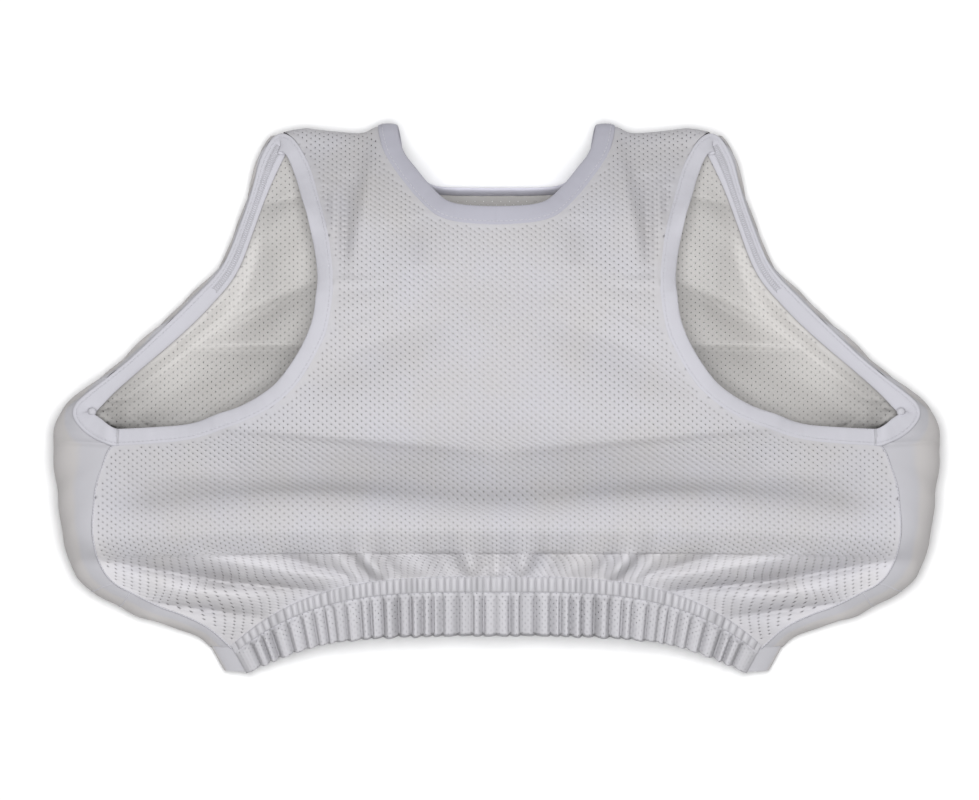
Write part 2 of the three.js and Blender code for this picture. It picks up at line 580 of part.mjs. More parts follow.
function waistSide(side) {
  const station = SIDE_STATIONS[0];
  const front = frontPoint(FRONT_EDGE[0].x, 0);
  const back = new THREE.Vector3(station.backX, backHem(station.backX), 0);
  const hem = casingPoint(front, { drop: 1, pinch: 0, fall: 0 }, 0, 0);
  const down = hem.sub(front).setZ(0);
  const grid = CORNER_ROWS.map((share) => {
    const shift = down.clone().multiplyScalar(share);
    shift.y -= CASING_GAP;
    const seam = front.clone().add(shift);
    seam.x += SEAM_GAP;
    const turn = outPoint(station).add(shift);
    const under = back.clone().add(shift);
    return sideFold(seam, turn, under, SIDE_TURN);
  });
  return sidePiece(`waistband_side_${side.name}`, "smooth", sheetTriangles(grid, CLOTH), side);
}

const SIDES = [{ name: "left", mirror: false }, { name: "right", mirror: true }];
const vest = new THREE.Group();
vest.name = "karate_chest_protector";
vest.add(frontPanel(), backPanel(), neckBand(), waistFront(), waistBack());
for (const side of SIDES) {
  vest.add(sidePanel(side), armholeFront(side), armholeBack(side), waistSide(side));
}

export default vest;
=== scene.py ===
"""Dresses a karate chest protector that lies on its back, front up.

Blender works in metres, and the tables and sizes here are in millimetres. X runs across the chest to
the wearer's left, Y from waist to neck and Z up from the floor. Each cloth piece is a function of two
parameters on a grid or on a lattice of mesh cells, or a profile carried along a path.
"""
import logging
import math
from dataclasses import dataclass, replace
from enum import Enum, IntEnum

import bpy
import numpy as np
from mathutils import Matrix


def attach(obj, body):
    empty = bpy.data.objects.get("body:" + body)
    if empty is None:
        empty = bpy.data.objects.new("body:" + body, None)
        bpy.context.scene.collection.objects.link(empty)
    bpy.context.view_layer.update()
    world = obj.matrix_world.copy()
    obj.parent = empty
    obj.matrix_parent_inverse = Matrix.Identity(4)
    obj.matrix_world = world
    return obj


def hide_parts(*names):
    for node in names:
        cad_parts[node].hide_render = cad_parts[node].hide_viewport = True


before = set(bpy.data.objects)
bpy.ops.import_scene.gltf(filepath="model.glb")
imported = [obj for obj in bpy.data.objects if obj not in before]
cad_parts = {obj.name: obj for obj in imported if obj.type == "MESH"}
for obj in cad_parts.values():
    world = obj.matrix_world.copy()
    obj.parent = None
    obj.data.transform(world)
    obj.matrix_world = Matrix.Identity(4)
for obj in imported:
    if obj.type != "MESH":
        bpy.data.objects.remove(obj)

Array = np.ndarray
Piece = bpy.types.Object
Tree = bpy.types.NodeTree
Node = bpy.types.Node
Socket = bpy.types.NodeSocket
Floats = tuple[float, ...]
Pair = tuple[float, float]
Triple = tuple[float, float, float]
Colour = Triple

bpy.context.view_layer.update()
LOG = logging.getLogger("vest")
BODY = "root"
# The attribute that paints light and shade into the colour of a piece.
PAINTED_SHADING_ATTRIBUTE = "tone"
MM = 0.001
TURN = math.tau
UP = np.array((0.0, 0.0, 1.0))
MIRROR = np.array((-1.0, 1.0, 1.0))
TINY = 1e-12
BLOCK = 4000  # points that are worked out at once beside an outline
FLAT_TOP = 4  # the power of a bell with a flat top
WAVE_TURN = 20  # the wave texture takes the sine of so many times its coordinate


class Side(Enum):
    """A side of the wearer, with the sign of its X."""

    LEFT = 1.0
    RIGHT = -1.0

    @property
    def word(self) -> str:
        """The side's name as the solids use it."""
        return self.name.lower()


class Slot(Enum):
    """The material slots of the record."""

    MESH = "mesh_knit"
    SMOOTH = "smooth_knit"
    BINDING = "binding_knit"
    CASING = "gathered_casing"


class Held(Enum):
    """How a sheet of cloth is held."""

    LAID = "laid"
    FOLDED = "folded"
    GATHERED = "gathered"


class Seed(IntEnum):
    """The seeds of the waves."""

    PUCKERS = 11
    DRAPE = 12
    SIDES = 15
    PUFFS = 16
    PLEATS = 18
    BINDINGS = 20


def eased(share: Array) -> Array:
    """Eases a share in and out: three times its square less twice its cube."""
    return share * share * (3 - 2 * share)


def ramp(values: Array, start: float, run: float) -> Array:
    """Rises evenly from nought at the start to one at the end of the run, which may go backwards."""
    return np.clip((values - start) / run, 0.0, 1.0)


def bell(away: Array, reach: float | Array, power: int = 2) -> Array:
    """Falls from one by the exponential of a power of the distance, as a multiple of the reach."""
    return np.exp(-(np.abs(away / reach) ** power))


class SmoothTable:
    """Smooth values through the rows of a table: a cubic between rows that never runs past them."""

    def __init__(self, columns: str, rows: tuple[Floats, ...], key: str = "") -> None:
        """Keeps the columns by name.

        Args:
            columns: the names of the columns, with spaces between.
            rows: the rows of the table.
            key: the column that is looked up, or nothing for the number of the row.
        """
        values = np.array(rows, dtype=float).T
        self.columns = dict(zip(columns.split(), values))
        self.keys = self.columns[key] if key else np.arange(len(rows), dtype=float)

    def __call__(self, column: str, where: Array) -> Array:
        """Reads a column between the rows.

        The value is a cubic between two rows. Its slope at a row is the harmonic mean of the slopes
        beside it, or nought where they differ in sign.

        Args:
            column: the name of the column.
            where: the keys to read it at.

        Returns:
            The values, one for each key.
        """
        values = self.columns[column]
        step = np.diff(self.keys)
        slope = np.diff(values) / step
        product = slope[:-1] * slope[1:]
        total = np.where(product > 0, slope[:-1] + slope[1:], 1.0)
        inner = np.where(product > 0, 2 * product / total, 0.0)
        tangent = np.concatenate([slope[:1], inner, slope[-1:]])
        at = np.clip(where, self.keys[0], self.keys[-1])
        k = np.clip(np.searchsorted(self.keys, at, side="right") - 1, 0, len(step) - 1)
        t = (at - self.keys[k]) / step[k]
        rise = eased(t)
        leave = tangent[k] * step[k] * t * (1 - t) ** 2
        arrive = tangent[k + 1] * step[k] * t * t * (1 - t)
        return values[k] * (1 - rise) + values[k + 1] * rise + leave - arrive

    def line(self, name: str, where: Array, axes: str = "xyz") -> Array:
        """Reads the coordinates of a named line side by side, one row for each key."""
        return np.stack([self(f"{name}_{axis}", where) for axis in axes], axis=-1)


# Sections of the front from the waistband over the shoulder to the seam behind it.
# Each row is one section: band top, flare, ledge foot, ledge lip, roll, crease foot, crease lip, under
# bust, underarm, bust, chest, upper chest, neck base, strap, shoulder, fold, behind and shoulder seam.
# gather is the width of the cloth there for each millimetre of its cut, ripple how far it puckers.
FRONT_SECTIONS = SmoothTable(
    "mid_y side_y mid_z side_z half crown gather ripple",
    (
        (-101.2, -141, 34.5, 12, 151, 3, 0.66, 0.3),
        (-93.5, -119, 39.5, 21, 188, 3, 0.82, 1),
        (-86.6, -92, 44.2, 30.5, 224, 3, 0.97, 1),
        (-86.7, -89, 46.2, 32.5, 226, 2.6, 0.985, 0.5),
        (-72.5, -77, 59, 39, 228, 2.4, 1, 0.1),
        (-57.5, -61, 55.8, 38, 228, 2.4, 1, 0),
        (-54, -57.5, 56.4, 38.4, 228, 2.4, 1, 0),
        (-38, -38, 67.5, 42, 223, 2.4, 1, 0),
        (-22, -22, 77.5, 43, 217, 2.4, 1, 0),
        (0, 0, 82, 43, 217, 2.4, 1, 0),
        (40, 40, 79, 42, 217, 2.4, 1, 0),
        (75, 75, 72, 38, 214, 2.3, 1, 0),
        (99, 99, 62, 32, 200, 2.2, 1, 0),
        (127, 127, 43, 22, 180, 2, 1, 0),
        (144, 146.5, 29, 23, 115, 2, 1, 0),
        (150, 154.6, 18, 16, 108, 2, 1, 0),
        (146, 148, 4, 3.6, 115, 2, 1, 0),
        (134, 134, 0, 0, 120, 2, 1, 0),
    ),
)
CREASE_ROW = 6
FOLD_ROW = 15
LAST_ROW = 17
UNDERARM_Y = -26.0

# The outer edge of the front: the side seam, then the seam of the armhole binding.
FRONT_EDGE = SmoothTable(
    "y x",
    (
        (-141, 151), (-132, 163.5), (-122, 181.5), (-114.6, 197.5), (-109.4, 207.2),
        (-104.9, 215.7), (-97.5, 222.6), (-86.6, 227.1), (-71.8, 229), (-53, 227.7),
        (-36, 222.6), (UNDERARM_Y, 217.6), (-25, 200), (-22.6, 175), (-17, 156),
        (-8.4, 134.5), (1.1, 120.3), (9.7, 112), (22.8, 103.6), (42.8, 94.9),
        (65, 92.3), (90.6, 94.7), (118, 101.7), (134, 106.5), (145.4, 112.6), (154.6, 121),
    ),
    key="y",
)

# The neck edge of the front, from the middle out to the shoulder.
FRONT_NECK = SmoothTable(
    "y x",
    (
        (99, 0), (99.8, 14.8), (101.4, 26), (104.9, 34.7), (109.5, 40), (114.2, 44.5),
        (119.9, 49.5), (127.7, 55.3), (134.5, 60.4), (140.8, 64), (149, 67),
    ),
    key="y",
)

# The neck edge of the back, from the middle out to the shoulder seam.
BACK_NECK = SmoothTable(
    "y x",
    (
        (116.2, 0), (116.3, 20), (116.8, 33), (118, 41),
        (120.8, 47.5), (125.5, 53), (130, 58.5), (134, 63),
    ),
    key="y",
)

# The side fold below the underarm: the turn of the fold, and the seam by the floor.
SIDE_STATIONS = SmoothTable(
    "seam_y out_x out_y out_z back_x back_y",
    (
        (-141, 163, -140.4, 6.5, 152, -140),
        (-132, 169, -135.2, 8, 164, -131.5),
        (-122, 186, -128.6, 10, 182.5, -121.5),
        (-114.6, 203.5, -123.4, 12, 198, -114),
        (-109.4, 215, -117, 14, 207.5, -109),
        (-104.9, 228, -110.4, 15.5, 216, -104),
        (-97.5, 239, -100, 17, 224, -96),
        (-86.6, 244.6, -86, 18.5, 228, -86),
        (-71.8, 247.2, -71, 20, 231, -71),
        (-53, 249.6, -53, 20.5, 233, -53),
        (-36, 251.3, -36, 20.5, 235, -36),
        (UNDERARM_Y, 251.7, -25, 20.5, 236, -26),
    ),
    key="seam_y",
)

# The armhole behind the underarm: the seam of the binding, the turn of the wall, the seam by the
# floor and the free edge of the binding, from the side seam round the hairpin to the shoulder.
ARMHOLE_STATIONS = SmoothTable(
    "seam_x seam_y seam_z out_x out_y out_z back_x back_y free_x free_y free_z",
    (
        (218.8, -25.2, 43, 251.7, -25, 20.5, 236, -26, 218.6, -15.6, 43.4),
        (229, -20.7, 39, 251.6, -18.5, 20, 236, -20, 222, -11.8, 40),
        (237.5, -13.1, 36, 250.2, -12, 19.5, 234.5, -14.5, 227.8, -9.4, 37),
        (240.2, -7.4, 34, 246.8, -4.8, 19, 232, -10, 229.2, -6.4, 34),
        (238.6, -2.7, 32.5, 241.6, -0.1, 18.5, 228, -6, 227.4, -3.2, 32),
        (233.2, 2.5, 31, 235.4, 4.6, 18, 222.5, -1, 222.4, 0.8, 30),
        (220.5, 12.5, 28, 222.7, 14.9, 17, 211, 8, 212.8, 8.6, 27),
        (208, 22.8, 26, 210.3, 25.3, 16, 199.5, 17.5, 201.2, 18.4, 24.5),
        (191.8, 38, 23, 194, 40.5, 14.5, 184, 31.5, 185.6, 31.2, 21.5),
        (171.4, 58, 20, 173.4, 60, 12.5, 164, 51, 165.2, 50.6, 18.5),
        (155.5, 75.8, 17.5, 157.2, 76.6, 11, 147, 72, 147.4, 72.4, 16.5),
        (144.4, 102, 16.5, 146.3, 102.6, 10.5, 136.5, 100, 136.6, 100.4, 16),
        (138.6, 119.2, 16.5, 140.5, 119.7, 10.5, 130.5, 117, 130.4, 117, 16.5),
        (134, 136, 17, 136, 136.8, 11, 126, 131, 123.8, 131.4, 17.5),
        (129.6, 145, 17.5, 131.4, 146.2, 11.5, 124, 138.5, 121.4, 137, 18.5),
        (126.8, 148.8, 18, 128.4, 150.2, 12, 122.4, 143, 120.6, 140, 19.5),
    ),
)

# Long folds of the front, mirrored: from x y, to x y, the width on the left of that way and on its
# right, and the height, a groove where it is negative.
# In order: strap ridge, strap valley, ridge and groove beside the armhole, neck dimple, then above the
# waistband from the middle out: a knot, a groove, a ridge, a groove, a ridge, a groove in two parts, a
# ridge and a groove, and at last a swelling below the underarm.
FRONT_FOLDS = np.array(
    (
        (67.5, 148, 82, 72, 5, 10, 6),
        (85, 128, 86.5, 68, 5, 6, -5),
        (92, 124, 89, 64, 3.5, 3.5, 3),
        (97, 122, 95, 98, 3, 3, -3),
        (45, 104, 44, 76, 6, 6, -2.4),
        (-6, -98.5, 6, -98.5, 3.4, 3.4, 2.8),
        (33, -85, 32, -102, 2, 5, -3),
        (64, -102, 80, -87, 4, 4, 3.4),
        (80, -101, 124, -88, 5, 3.5, -6),
        (84, -103, 176, -89, 4, 9, 5.5),
        (94, -109, 172, -102, 9, 2.6, -9),
        (146, -104.5, 228, -91, 10, 3, -9),
        (134, -113, 194, -107, 4, 8, 4),
        (128, -124, 204, -115, 7, 2.5, -7),
        (148, -41, 208, -43, 7, 7, 3),
    ),
    dtype=float,
)

# Steps of the front: from x y, to x y, the width of the step and its height, higher on the left.
# In order: end of the strap, upper and lower chest fold, bust edge.
FRONT_STEPS = np.array(
    (
        (60, 66, 94, 63, 3, 2),
        (36, 62, 101, 35, 8, 4.6),
        (24, 50, 118, 8, 9, 5.4),
        (4, -30, 172, -16, 3.5, 2.6),
    ),
    dtype=float,
)

# Steps of the back inside the armholes, in the same columns: edge of the facing, upper and lower fold.
BACK_STEPS = np.array(
    (
        (104, 117, 142, 109, 2.2, 3),
        (96, 70, 158, 43, 6, 8),
        (94, 31, 180, 29, 3, 4.5),
    ),
    dtype=float,
)
FOLD_TAPER = 0.7
CREASE_ROUND = 0.8
STEP_REACH = 24.0

# The turn of the armhole binding over the tip of the shoulder: its seam and its free edge.
SHOULDER_TURN = np.array(
    (
        (112.4, 144.2, 25.2, 118.4, 138.6, 27),
        (116, 148.6, 22.8, 119.2, 139.2, 25.6),
        (119.6, 151, 20.8, 119.5, 139.6, 24.2),
        (123.2, 151.4, 19.4, 119.8, 139.8, 22.8),
        (126, 149.8, 18.8, 120.2, 140, 21.4),
    ),
    dtype=float,
)


def unit(vectors: Array) -> Array:
    """Scales each vector to length one."""
    return vectors / np.maximum(np.linalg.norm(vectors, axis=-1, keepdims=True), TINY)


def lengths_along(path: Array) -> Array:
    """Gives the distance of each point of a path from its start, along the path."""
    return np.concatenate([[0.0], np.cumsum(np.linalg.norm(np.diff(path, axis=0), axis=1))])


def evenly(path: Array, spacing: float, *partners: Array) -> list[Array]:
    """Spaces the points of a path evenly, and reads its partners at the same places.

    Args:
        path: points of the path, one row each.
        spacing: the wanted distance between two points.
        partners: other arrays with one row for each point.

    Returns:
        The path and its partners, resampled by the length along the path.
    """
    along = lengths_along(path)
    count = max(2, int(round(along[-1] / spacing)) + 1)
    wanted = np.linspace(0.0, along[-1], count)
    return [
        np.stack([np.interp(wanted, along, column) for column in rows.T], axis=-1)
        for rows in (path, *partners)
    ]


def smoothed(rows: Array, window: int, closed: bool) -> Array:
    """Averages each row with its neighbours, in a window that runs past the ends of an open path.

    Args:
        rows: values, one row for each point of a path.
        window: how many rows are averaged, an odd number.
        closed: True where the last row is next to the first.

    Returns:
        The averaged rows.
    """
    half = window // 2
    padded = np.pad(rows, ((half, half), (0, 0)), mode="wrap" if closed else "edge")
    sums = np.cumsum(np.vstack([np.zeros((1, rows.shape[1])), padded]), axis=0)
    return (sums[window:] - sums[:-window]) / window


def tangents(path: Array, closed: bool = False) -> Array:
    """Gives the direction of a path at each point, from the points on each side of it."""
    ring = np.roll(path, -1, axis=0) - np.roll(path, 1, axis=0)
    return unit(ring if closed else np.gradient(path, axis=0))


def grid_quads(rows: int, columns: int, wrap_rows: bool = False, wrap_columns: bool = False) -> Array:
    """Lists the quads of a grid of points that is numbered row by row.

    Args:
        rows: how many rows the grid has.
        columns: how many columns it has.
        wrap_rows: True where the last row joins the first.
        wrap_columns: True where the last column joins the first.

    Returns:
        The corners of each quad, one row each.
    """
    r = np.arange(rows if wrap_rows else rows - 1)[:, None]
    c = np.arange(columns if wrap_columns else columns - 1)[None, :]
    s = (r + 1) % rows
    d = (c + 1) % columns
    corners = (r * columns + c, r * columns + d, s * columns + d, s * columns + c)
    return np.stack(np.broadcast_arrays(*corners), axis=-1).reshape(-1, 4)


def flat_grid(across: Array, down: Array) -> Array:
    """Lists the points of a flat grid row by row."""
    return np.stack(np.meshgrid(across, down), axis=-1).reshape(-1, 2)


def mirrored(half: Array) -> Array:
    """Closes an outline: its first half, and then the mirror image of that."""
    return np.concatenate([half, half[::-1] * MIRROR[:2]])


def square_to(way: Array, vectors: Array) -> Array:
    """Takes the part along a direction out of each vector, and scales what is left to length one."""
    return unit(vectors - (vectors * way).sum(1, keepdims=True) * way)


def blocks_of(points: Array) -> list[Array]:
    """Splits a long list of points into blocks that fit in memory beside an outline."""
    return np.array_split(points, max(1, len(points) // BLOCK))


def inside_outline(points: Array, outline: Array) -> Array:
    """Tells which points lie inside an outline: those whose ray to +x crosses it an odd number of times.

    Args:
        points: points in the plane, one row each.
        outline: corners of a closed outline, one row each.

    Returns:
        True for each point that is inside.
    """
    start = outline
    end = np.roll(outline, -1, axis=0)
    rise = np.where(end[:, 1] == start[:, 1], 1.0, end[:, 1] - start[:, 1])
    lean = (end[:, 0] - start[:, 0]) / rise
    inside = []
    for block in blocks_of(points):
        x, y = np.hsplit(block, 2)
        crosses = (start[:, 1] > y) != (end[:, 1] > y)
        before = x < start[:, 0] + (y - start[:, 1]) * lean
        inside.append((crosses & before).sum(axis=1) % 2 == 1)
    return np.concatenate(inside)


def nearest_on_outline(points: Array, outline: Array) -> Array:
    """Finds the nearest point of an outline: the closest foot on any of its straight pieces.

    Args:
        points: points in the plane, one row each.
        outline: corners of a closed outline, one row each.

    Returns:
        The nearest point for each point.
    """
    run = np.roll(outline, -1, axis=0) - outline
    size = np.maximum((run * run).sum(axis=1), TINY)
    nearest = []
    for block in blocks_of(points):
        away = block[:, None, :] - outline
        share = np.clip((away * run).sum(axis=2) / size, 0.0, 1.0)
        foot = outline + share[..., None] * run
        best = ((block[:, None, :] - foot) ** 2).sum(axis=2).argmin(axis=1)
        nearest.append(foot[np.arange(len(block)), best])
    return np.concatenate(nearest)


def waves(where: Array, lengths: Floats, heights: Floats, seed: int) -> Array:
    """Adds sine waves of given lengths and heights, each with a phase from the seed."""
    phases = np.random.default_rng(seed).uniform(0.0, TURN, len(lengths))
    return (np.sin(TURN * where[..., None] / np.array(lengths) + phases) * np.array(heights)).sum(axis=-1)


def line_places(lines: Array, x: Array, y: Array) -> tuple[Array, Array]:
    """Finds where points stand to lines that are the same on both sides of the middle line.

    Args:
        lines: the ends of the lines in the first four columns.
        x: distance from the middle line.
        y: distance along the vest.

    Returns:
        The distance from each line, above nought on its left, and how full a fold is there: a power of a
        sine that fades to the two ends of the line.
    """
    fromx, fromy, tox, toy = lines.T[:4]
    over = np.abs(x)[..., None] - fromx
    up = y[..., None] - fromy
    runx = tox - fromx
    runy = toy - fromy
    t = np.clip((over * runx + up * runy) / (runx**2 + runy**2), 0.0, 1.0)
    distance = np.hypot(over - t * runx, up - t * runy)
    side = np.where(runx * up - runy * over > 0, 1.0, -1.0)
    return side * distance, np.sin(math.pi * t) ** FOLD_TAPER


def fold_relief(folds: Array, x: Array, y: Array) -> Array:
    """Adds long folds.

    A ridge is a bell of the distance from its line. A groove falls with the exponential of that distance,
    and its bottom is rounded. Each has its own width on the two sides of the line.

    Args:
        folds: the folds, one row each.
        x: distance from the middle line.
        y: distance along the vest.

    Returns:
        The height that the folds add.
    """
    left, right, height = folds.T[4:]
    away, full = line_places(folds, x, y)
    width = np.where(away > 0, left, right)
    ridge = bell(away, width)
    groove = np.exp((CREASE_ROUND - np.sqrt(away**2 + CREASE_ROUND**2)) / width)
    return (height * full * np.where(height > 0, ridge, groove)).sum(axis=-1)


def step_relief(steps: Array, x: Array, y: Array) -> Array:
    """Adds steps, which pass steeply across their line and come back slowly on both sides of it.

    With the distance as a multiple of the width, a step is that multiple over one more than its square,
    under a wide bell.

    Args:
        steps: the steps, one row each.
        x: distance from the middle line.
        y: distance along the vest.

    Returns:
        The height that the steps add.
    """
    width, height = steps.T[4:]
    away, full = line_places(steps, x, y)
    share = away / width
    near = bell(away, STEP_REACH)
    return (height * full * near * share / (1 + share**2)).sum(axis=-1)


@dataclass(frozen=True)
class Finish:
    """A cloth finish: a pale colour that varies softly, with the ribs of its knit as bump.

    Ribs run along both directions of the piece's own UV map, which is in metres of cloth. A finish with
    a turn has a second colour on the cloth past that distance from its seam. A finish with painted shading
    is scaled by the painted light and shade of the piece, an attribute of its points.
    """

    name: str
    colour: Colour
    shade: Colour
    beyond: Colour | None = None
    turn: float = 0.0
    turn_width: float = 5.0
    # A finish with painted shading scales its colour by the painted light and shade of the piece.
    shading_is_painted: bool = False
    roughness: float = 0.88
    sheen: float = 0.08
    specular: float = 0.2
    rib_across: float = 0.55
    rib_along: float = 0.4
    rib_waver: float = 0.6
    bump: float = 0.45
    depth: float = 0.12
    fuzz: float = 0.7
    fuzz_scale: float = 900.0
    patch: float = 30.0
    patch_detail: float = 5.0
    patch_range: Pair = (0.25, 0.75)

    def material(self) -> bpy.types.Material:
        """Makes the node material, or finds it where it is made already.

        Returns:
            The material.
        """
        made = bpy.data.materials.get(self.name)
        if made:
            return made
        made = bpy.data.materials.new(self.name)
        made.use_nodes = True
        tree = made.node_tree
        shader = tree.nodes["Principled BSDF"]
        shader.inputs["Roughness"].default_value = self.roughness
        shader.inputs["Sheen Weight"].default_value = self.sheen
        shader.inputs["Specular IOR Level"].default_value = self.specular
        place = tree.nodes.new("ShaderNodeTexCoord")
        tint = self._tint(tree, place)
        if self.beyond:
            tint = self._two_tone(tree, place, tint)
        if self.shading_is_painted:
            tint = self._shaded(tree, tint)
        tree.links.new(tint, shader.inputs["Base Color"])
        tree.links.new(self._knit(tree, place), shader.inputs["Normal"])
        return made

    def _tint(self, tree: Tree, place: Node) -> Socket:
        """Mixes the two colours by soft noise in Object coordinates.

        Args:
            tree: the material's nodes.
            place: the texture coordinates.

        Returns:
            The mixed colour.
        """
        patches = tree.nodes.new("ShaderNodeTexNoise")
        patches.inputs["Scale"].default_value = self.patch
        patches.inputs["Detail"].default_value = self.patch_detail
        mixed = tree.nodes.new("ShaderNodeValToRGB")
        ends = zip(mixed.color_ramp.elements, self.patch_range, (self.shade, self.colour))
        for element, position, colour in ends:
            element.position = position
            element.color = (*colour, 1.0)
        tree.links.new(place.outputs["Object"], patches.inputs["Vector"])
        tree.links.new(patches.outputs["Fac"], mixed.inputs["Fac"])
        return mixed.outputs["Color"]

    def _two_tone(self, tree: Tree, place: Node, tint: Socket) -> Socket:
        """Passes softly from the tint to the second colour across the turn.

        Args:
            tree: the material's nodes.
            place: the texture coordinates.
            tint: the colour before the turn.

        Returns:
            The colour on both sides of the turn.
        """
        apart = tree.nodes.new("ShaderNodeSeparateXYZ")
        share = tree.nodes.new("ShaderNodeMapRange")
        share.interpolation_type = "SMOOTHSTEP"
        share.inputs["From Min"].default_value = (self.turn - 0.5 * self.turn_width) * MM
        share.inputs["From Max"].default_value = (self.turn + 0.5 * self.turn_width) * MM
        mix = tree.nodes.new("ShaderNodeMixRGB")
        mix.inputs["Color2"].default_value = (*self.beyond, 1.0)
        tree.links.new(place.outputs["UV"], apart.inputs["Vector"])
        tree.links.new(apart.outputs["X"], share.inputs["Value"])
        tree.links.new(share.outputs["Result"], mix.inputs["Fac"])
        tree.links.new(tint, mix.inputs["Color1"])
        return mix.outputs["Color"]

    def _shaded(self, tree: Tree, tint: Socket) -> Socket:
        """Scales the tint by the painted light and shade of the piece.

        Args:
            tree: the material's nodes.
            tint: the colour before.

        Returns:
            The scaled colour.
        """
        tone = tree.nodes.new("ShaderNodeAttribute")
        tone.attribute_name = PAINTED_SHADING_ATTRIBUTE
        scaled = tree.nodes.new("ShaderNodeVectorMath")
        scaled.operation = "SCALE"
        tree.links.new(tint, scaled.inputs["Vector"])
        tree.links.new(tone.outputs["Fac"], scaled.inputs["Scale"])
        return scaled.outputs["Vector"]

    def _knit(self, tree: Tree, place: Node) -> Socket:
        """Adds the ribs of the knit along and across the cloth, broken up by fine noise.

        Args:
            tree: the material's nodes.
            place: the texture coordinates.

        Returns:
            The normal of the ribbed cloth.
        """
        cross = tree.nodes.new("ShaderNodeMath")
        cross.operation = "MULTIPLY"
        for socket, direction, pitch in zip(cross.inputs, "XY", (self.rib_across, self.rib_along)):
            rib = tree.nodes.new("ShaderNodeTexWave")
            rib.bands_direction = direction
            rib.inputs["Scale"].default_value = TURN / (WAVE_TURN * pitch * MM)
            rib.inputs["Distortion"].default_value = self.rib_waver
            tree.links.new(place.outputs["UV"], rib.inputs["Vector"])
            tree.links.new(rib.outputs["Fac"], socket)
        fuzz = tree.nodes.new("ShaderNodeTexNoise")
        fuzz.inputs["Scale"].default_value = self.fuzz_scale
        total = tree.nodes.new("ShaderNodeMath")
        total.operation = "MULTIPLY_ADD"
        total.inputs[1].default_value = self.fuzz
        bump = tree.nodes.new("ShaderNodeBump")
        bump.inputs["Strength"].default_value = self.bump
        bump.inputs["Distance"].default_value = self.depth * MM
        tree.links.new(place.outputs["Object"], fuzz.inputs["Vector"])
        tree.links.new(fuzz.outputs["Fac"], total.inputs[0])
        tree.links.new(cross.outputs["Value"], total.inputs[2])
        tree.links.new(total.outputs["Value"], bump.inputs["Height"])
        return bump.outputs["Normal"]


FRONT_MESH = Finish("front_mesh_finish", (0.552, 0.546, 0.58), (0.54, 0.526, 0.53), shading_is_painted=True)
# The back mesh is a warmer, lighter copy of the front mesh: painted warm bounce light inside the vest.
BACK_MESH_WARM_LIT = Finish("back_mesh_warm_lit_finish", (0.60, 0.586, 0.572), (0.575, 0.558, 0.54), shading_is_painted=True)
SMOOTH_KNIT = Finish(
    "smooth_finish", (0.50, 0.495, 0.525), (0.48, 0.475, 0.50), (0.53, 0.51, 0.505), 12.5, rib_along=0.5
)
BINDING_KNIT = Finish("binding_finish", (0.56, 0.555, 0.60), (0.54, 0.535, 0.575), rib_along=0.6)
# The neck binding is a darker copy of the binding knit: painted shade where the band turns down into the
# neck.
NECK_SHADED_KNIT = Finish("neck_shaded_finish", (0.445, 0.441, 0.5), (0.43, 0.426, 0.482), rib_along=0.6, shading_is_painted=True)
CASING_MESH = Finish("casing_finish", (0.6, 0.593, 0.62), (0.57, 0.562, 0.585), shading_is_painted=True)
THREAD = Finish("thread_finish", (0.58, 0.575, 0.615), (0.56, 0.555, 0.59), rib_across=0.3, rib_along=0.3)
OVERLOCK = Finish(
    "overlock_finish", (0.52, 0.515, 0.55), (0.50, 0.495, 0.525), rib_across=0.3, rib_along=0.3
)


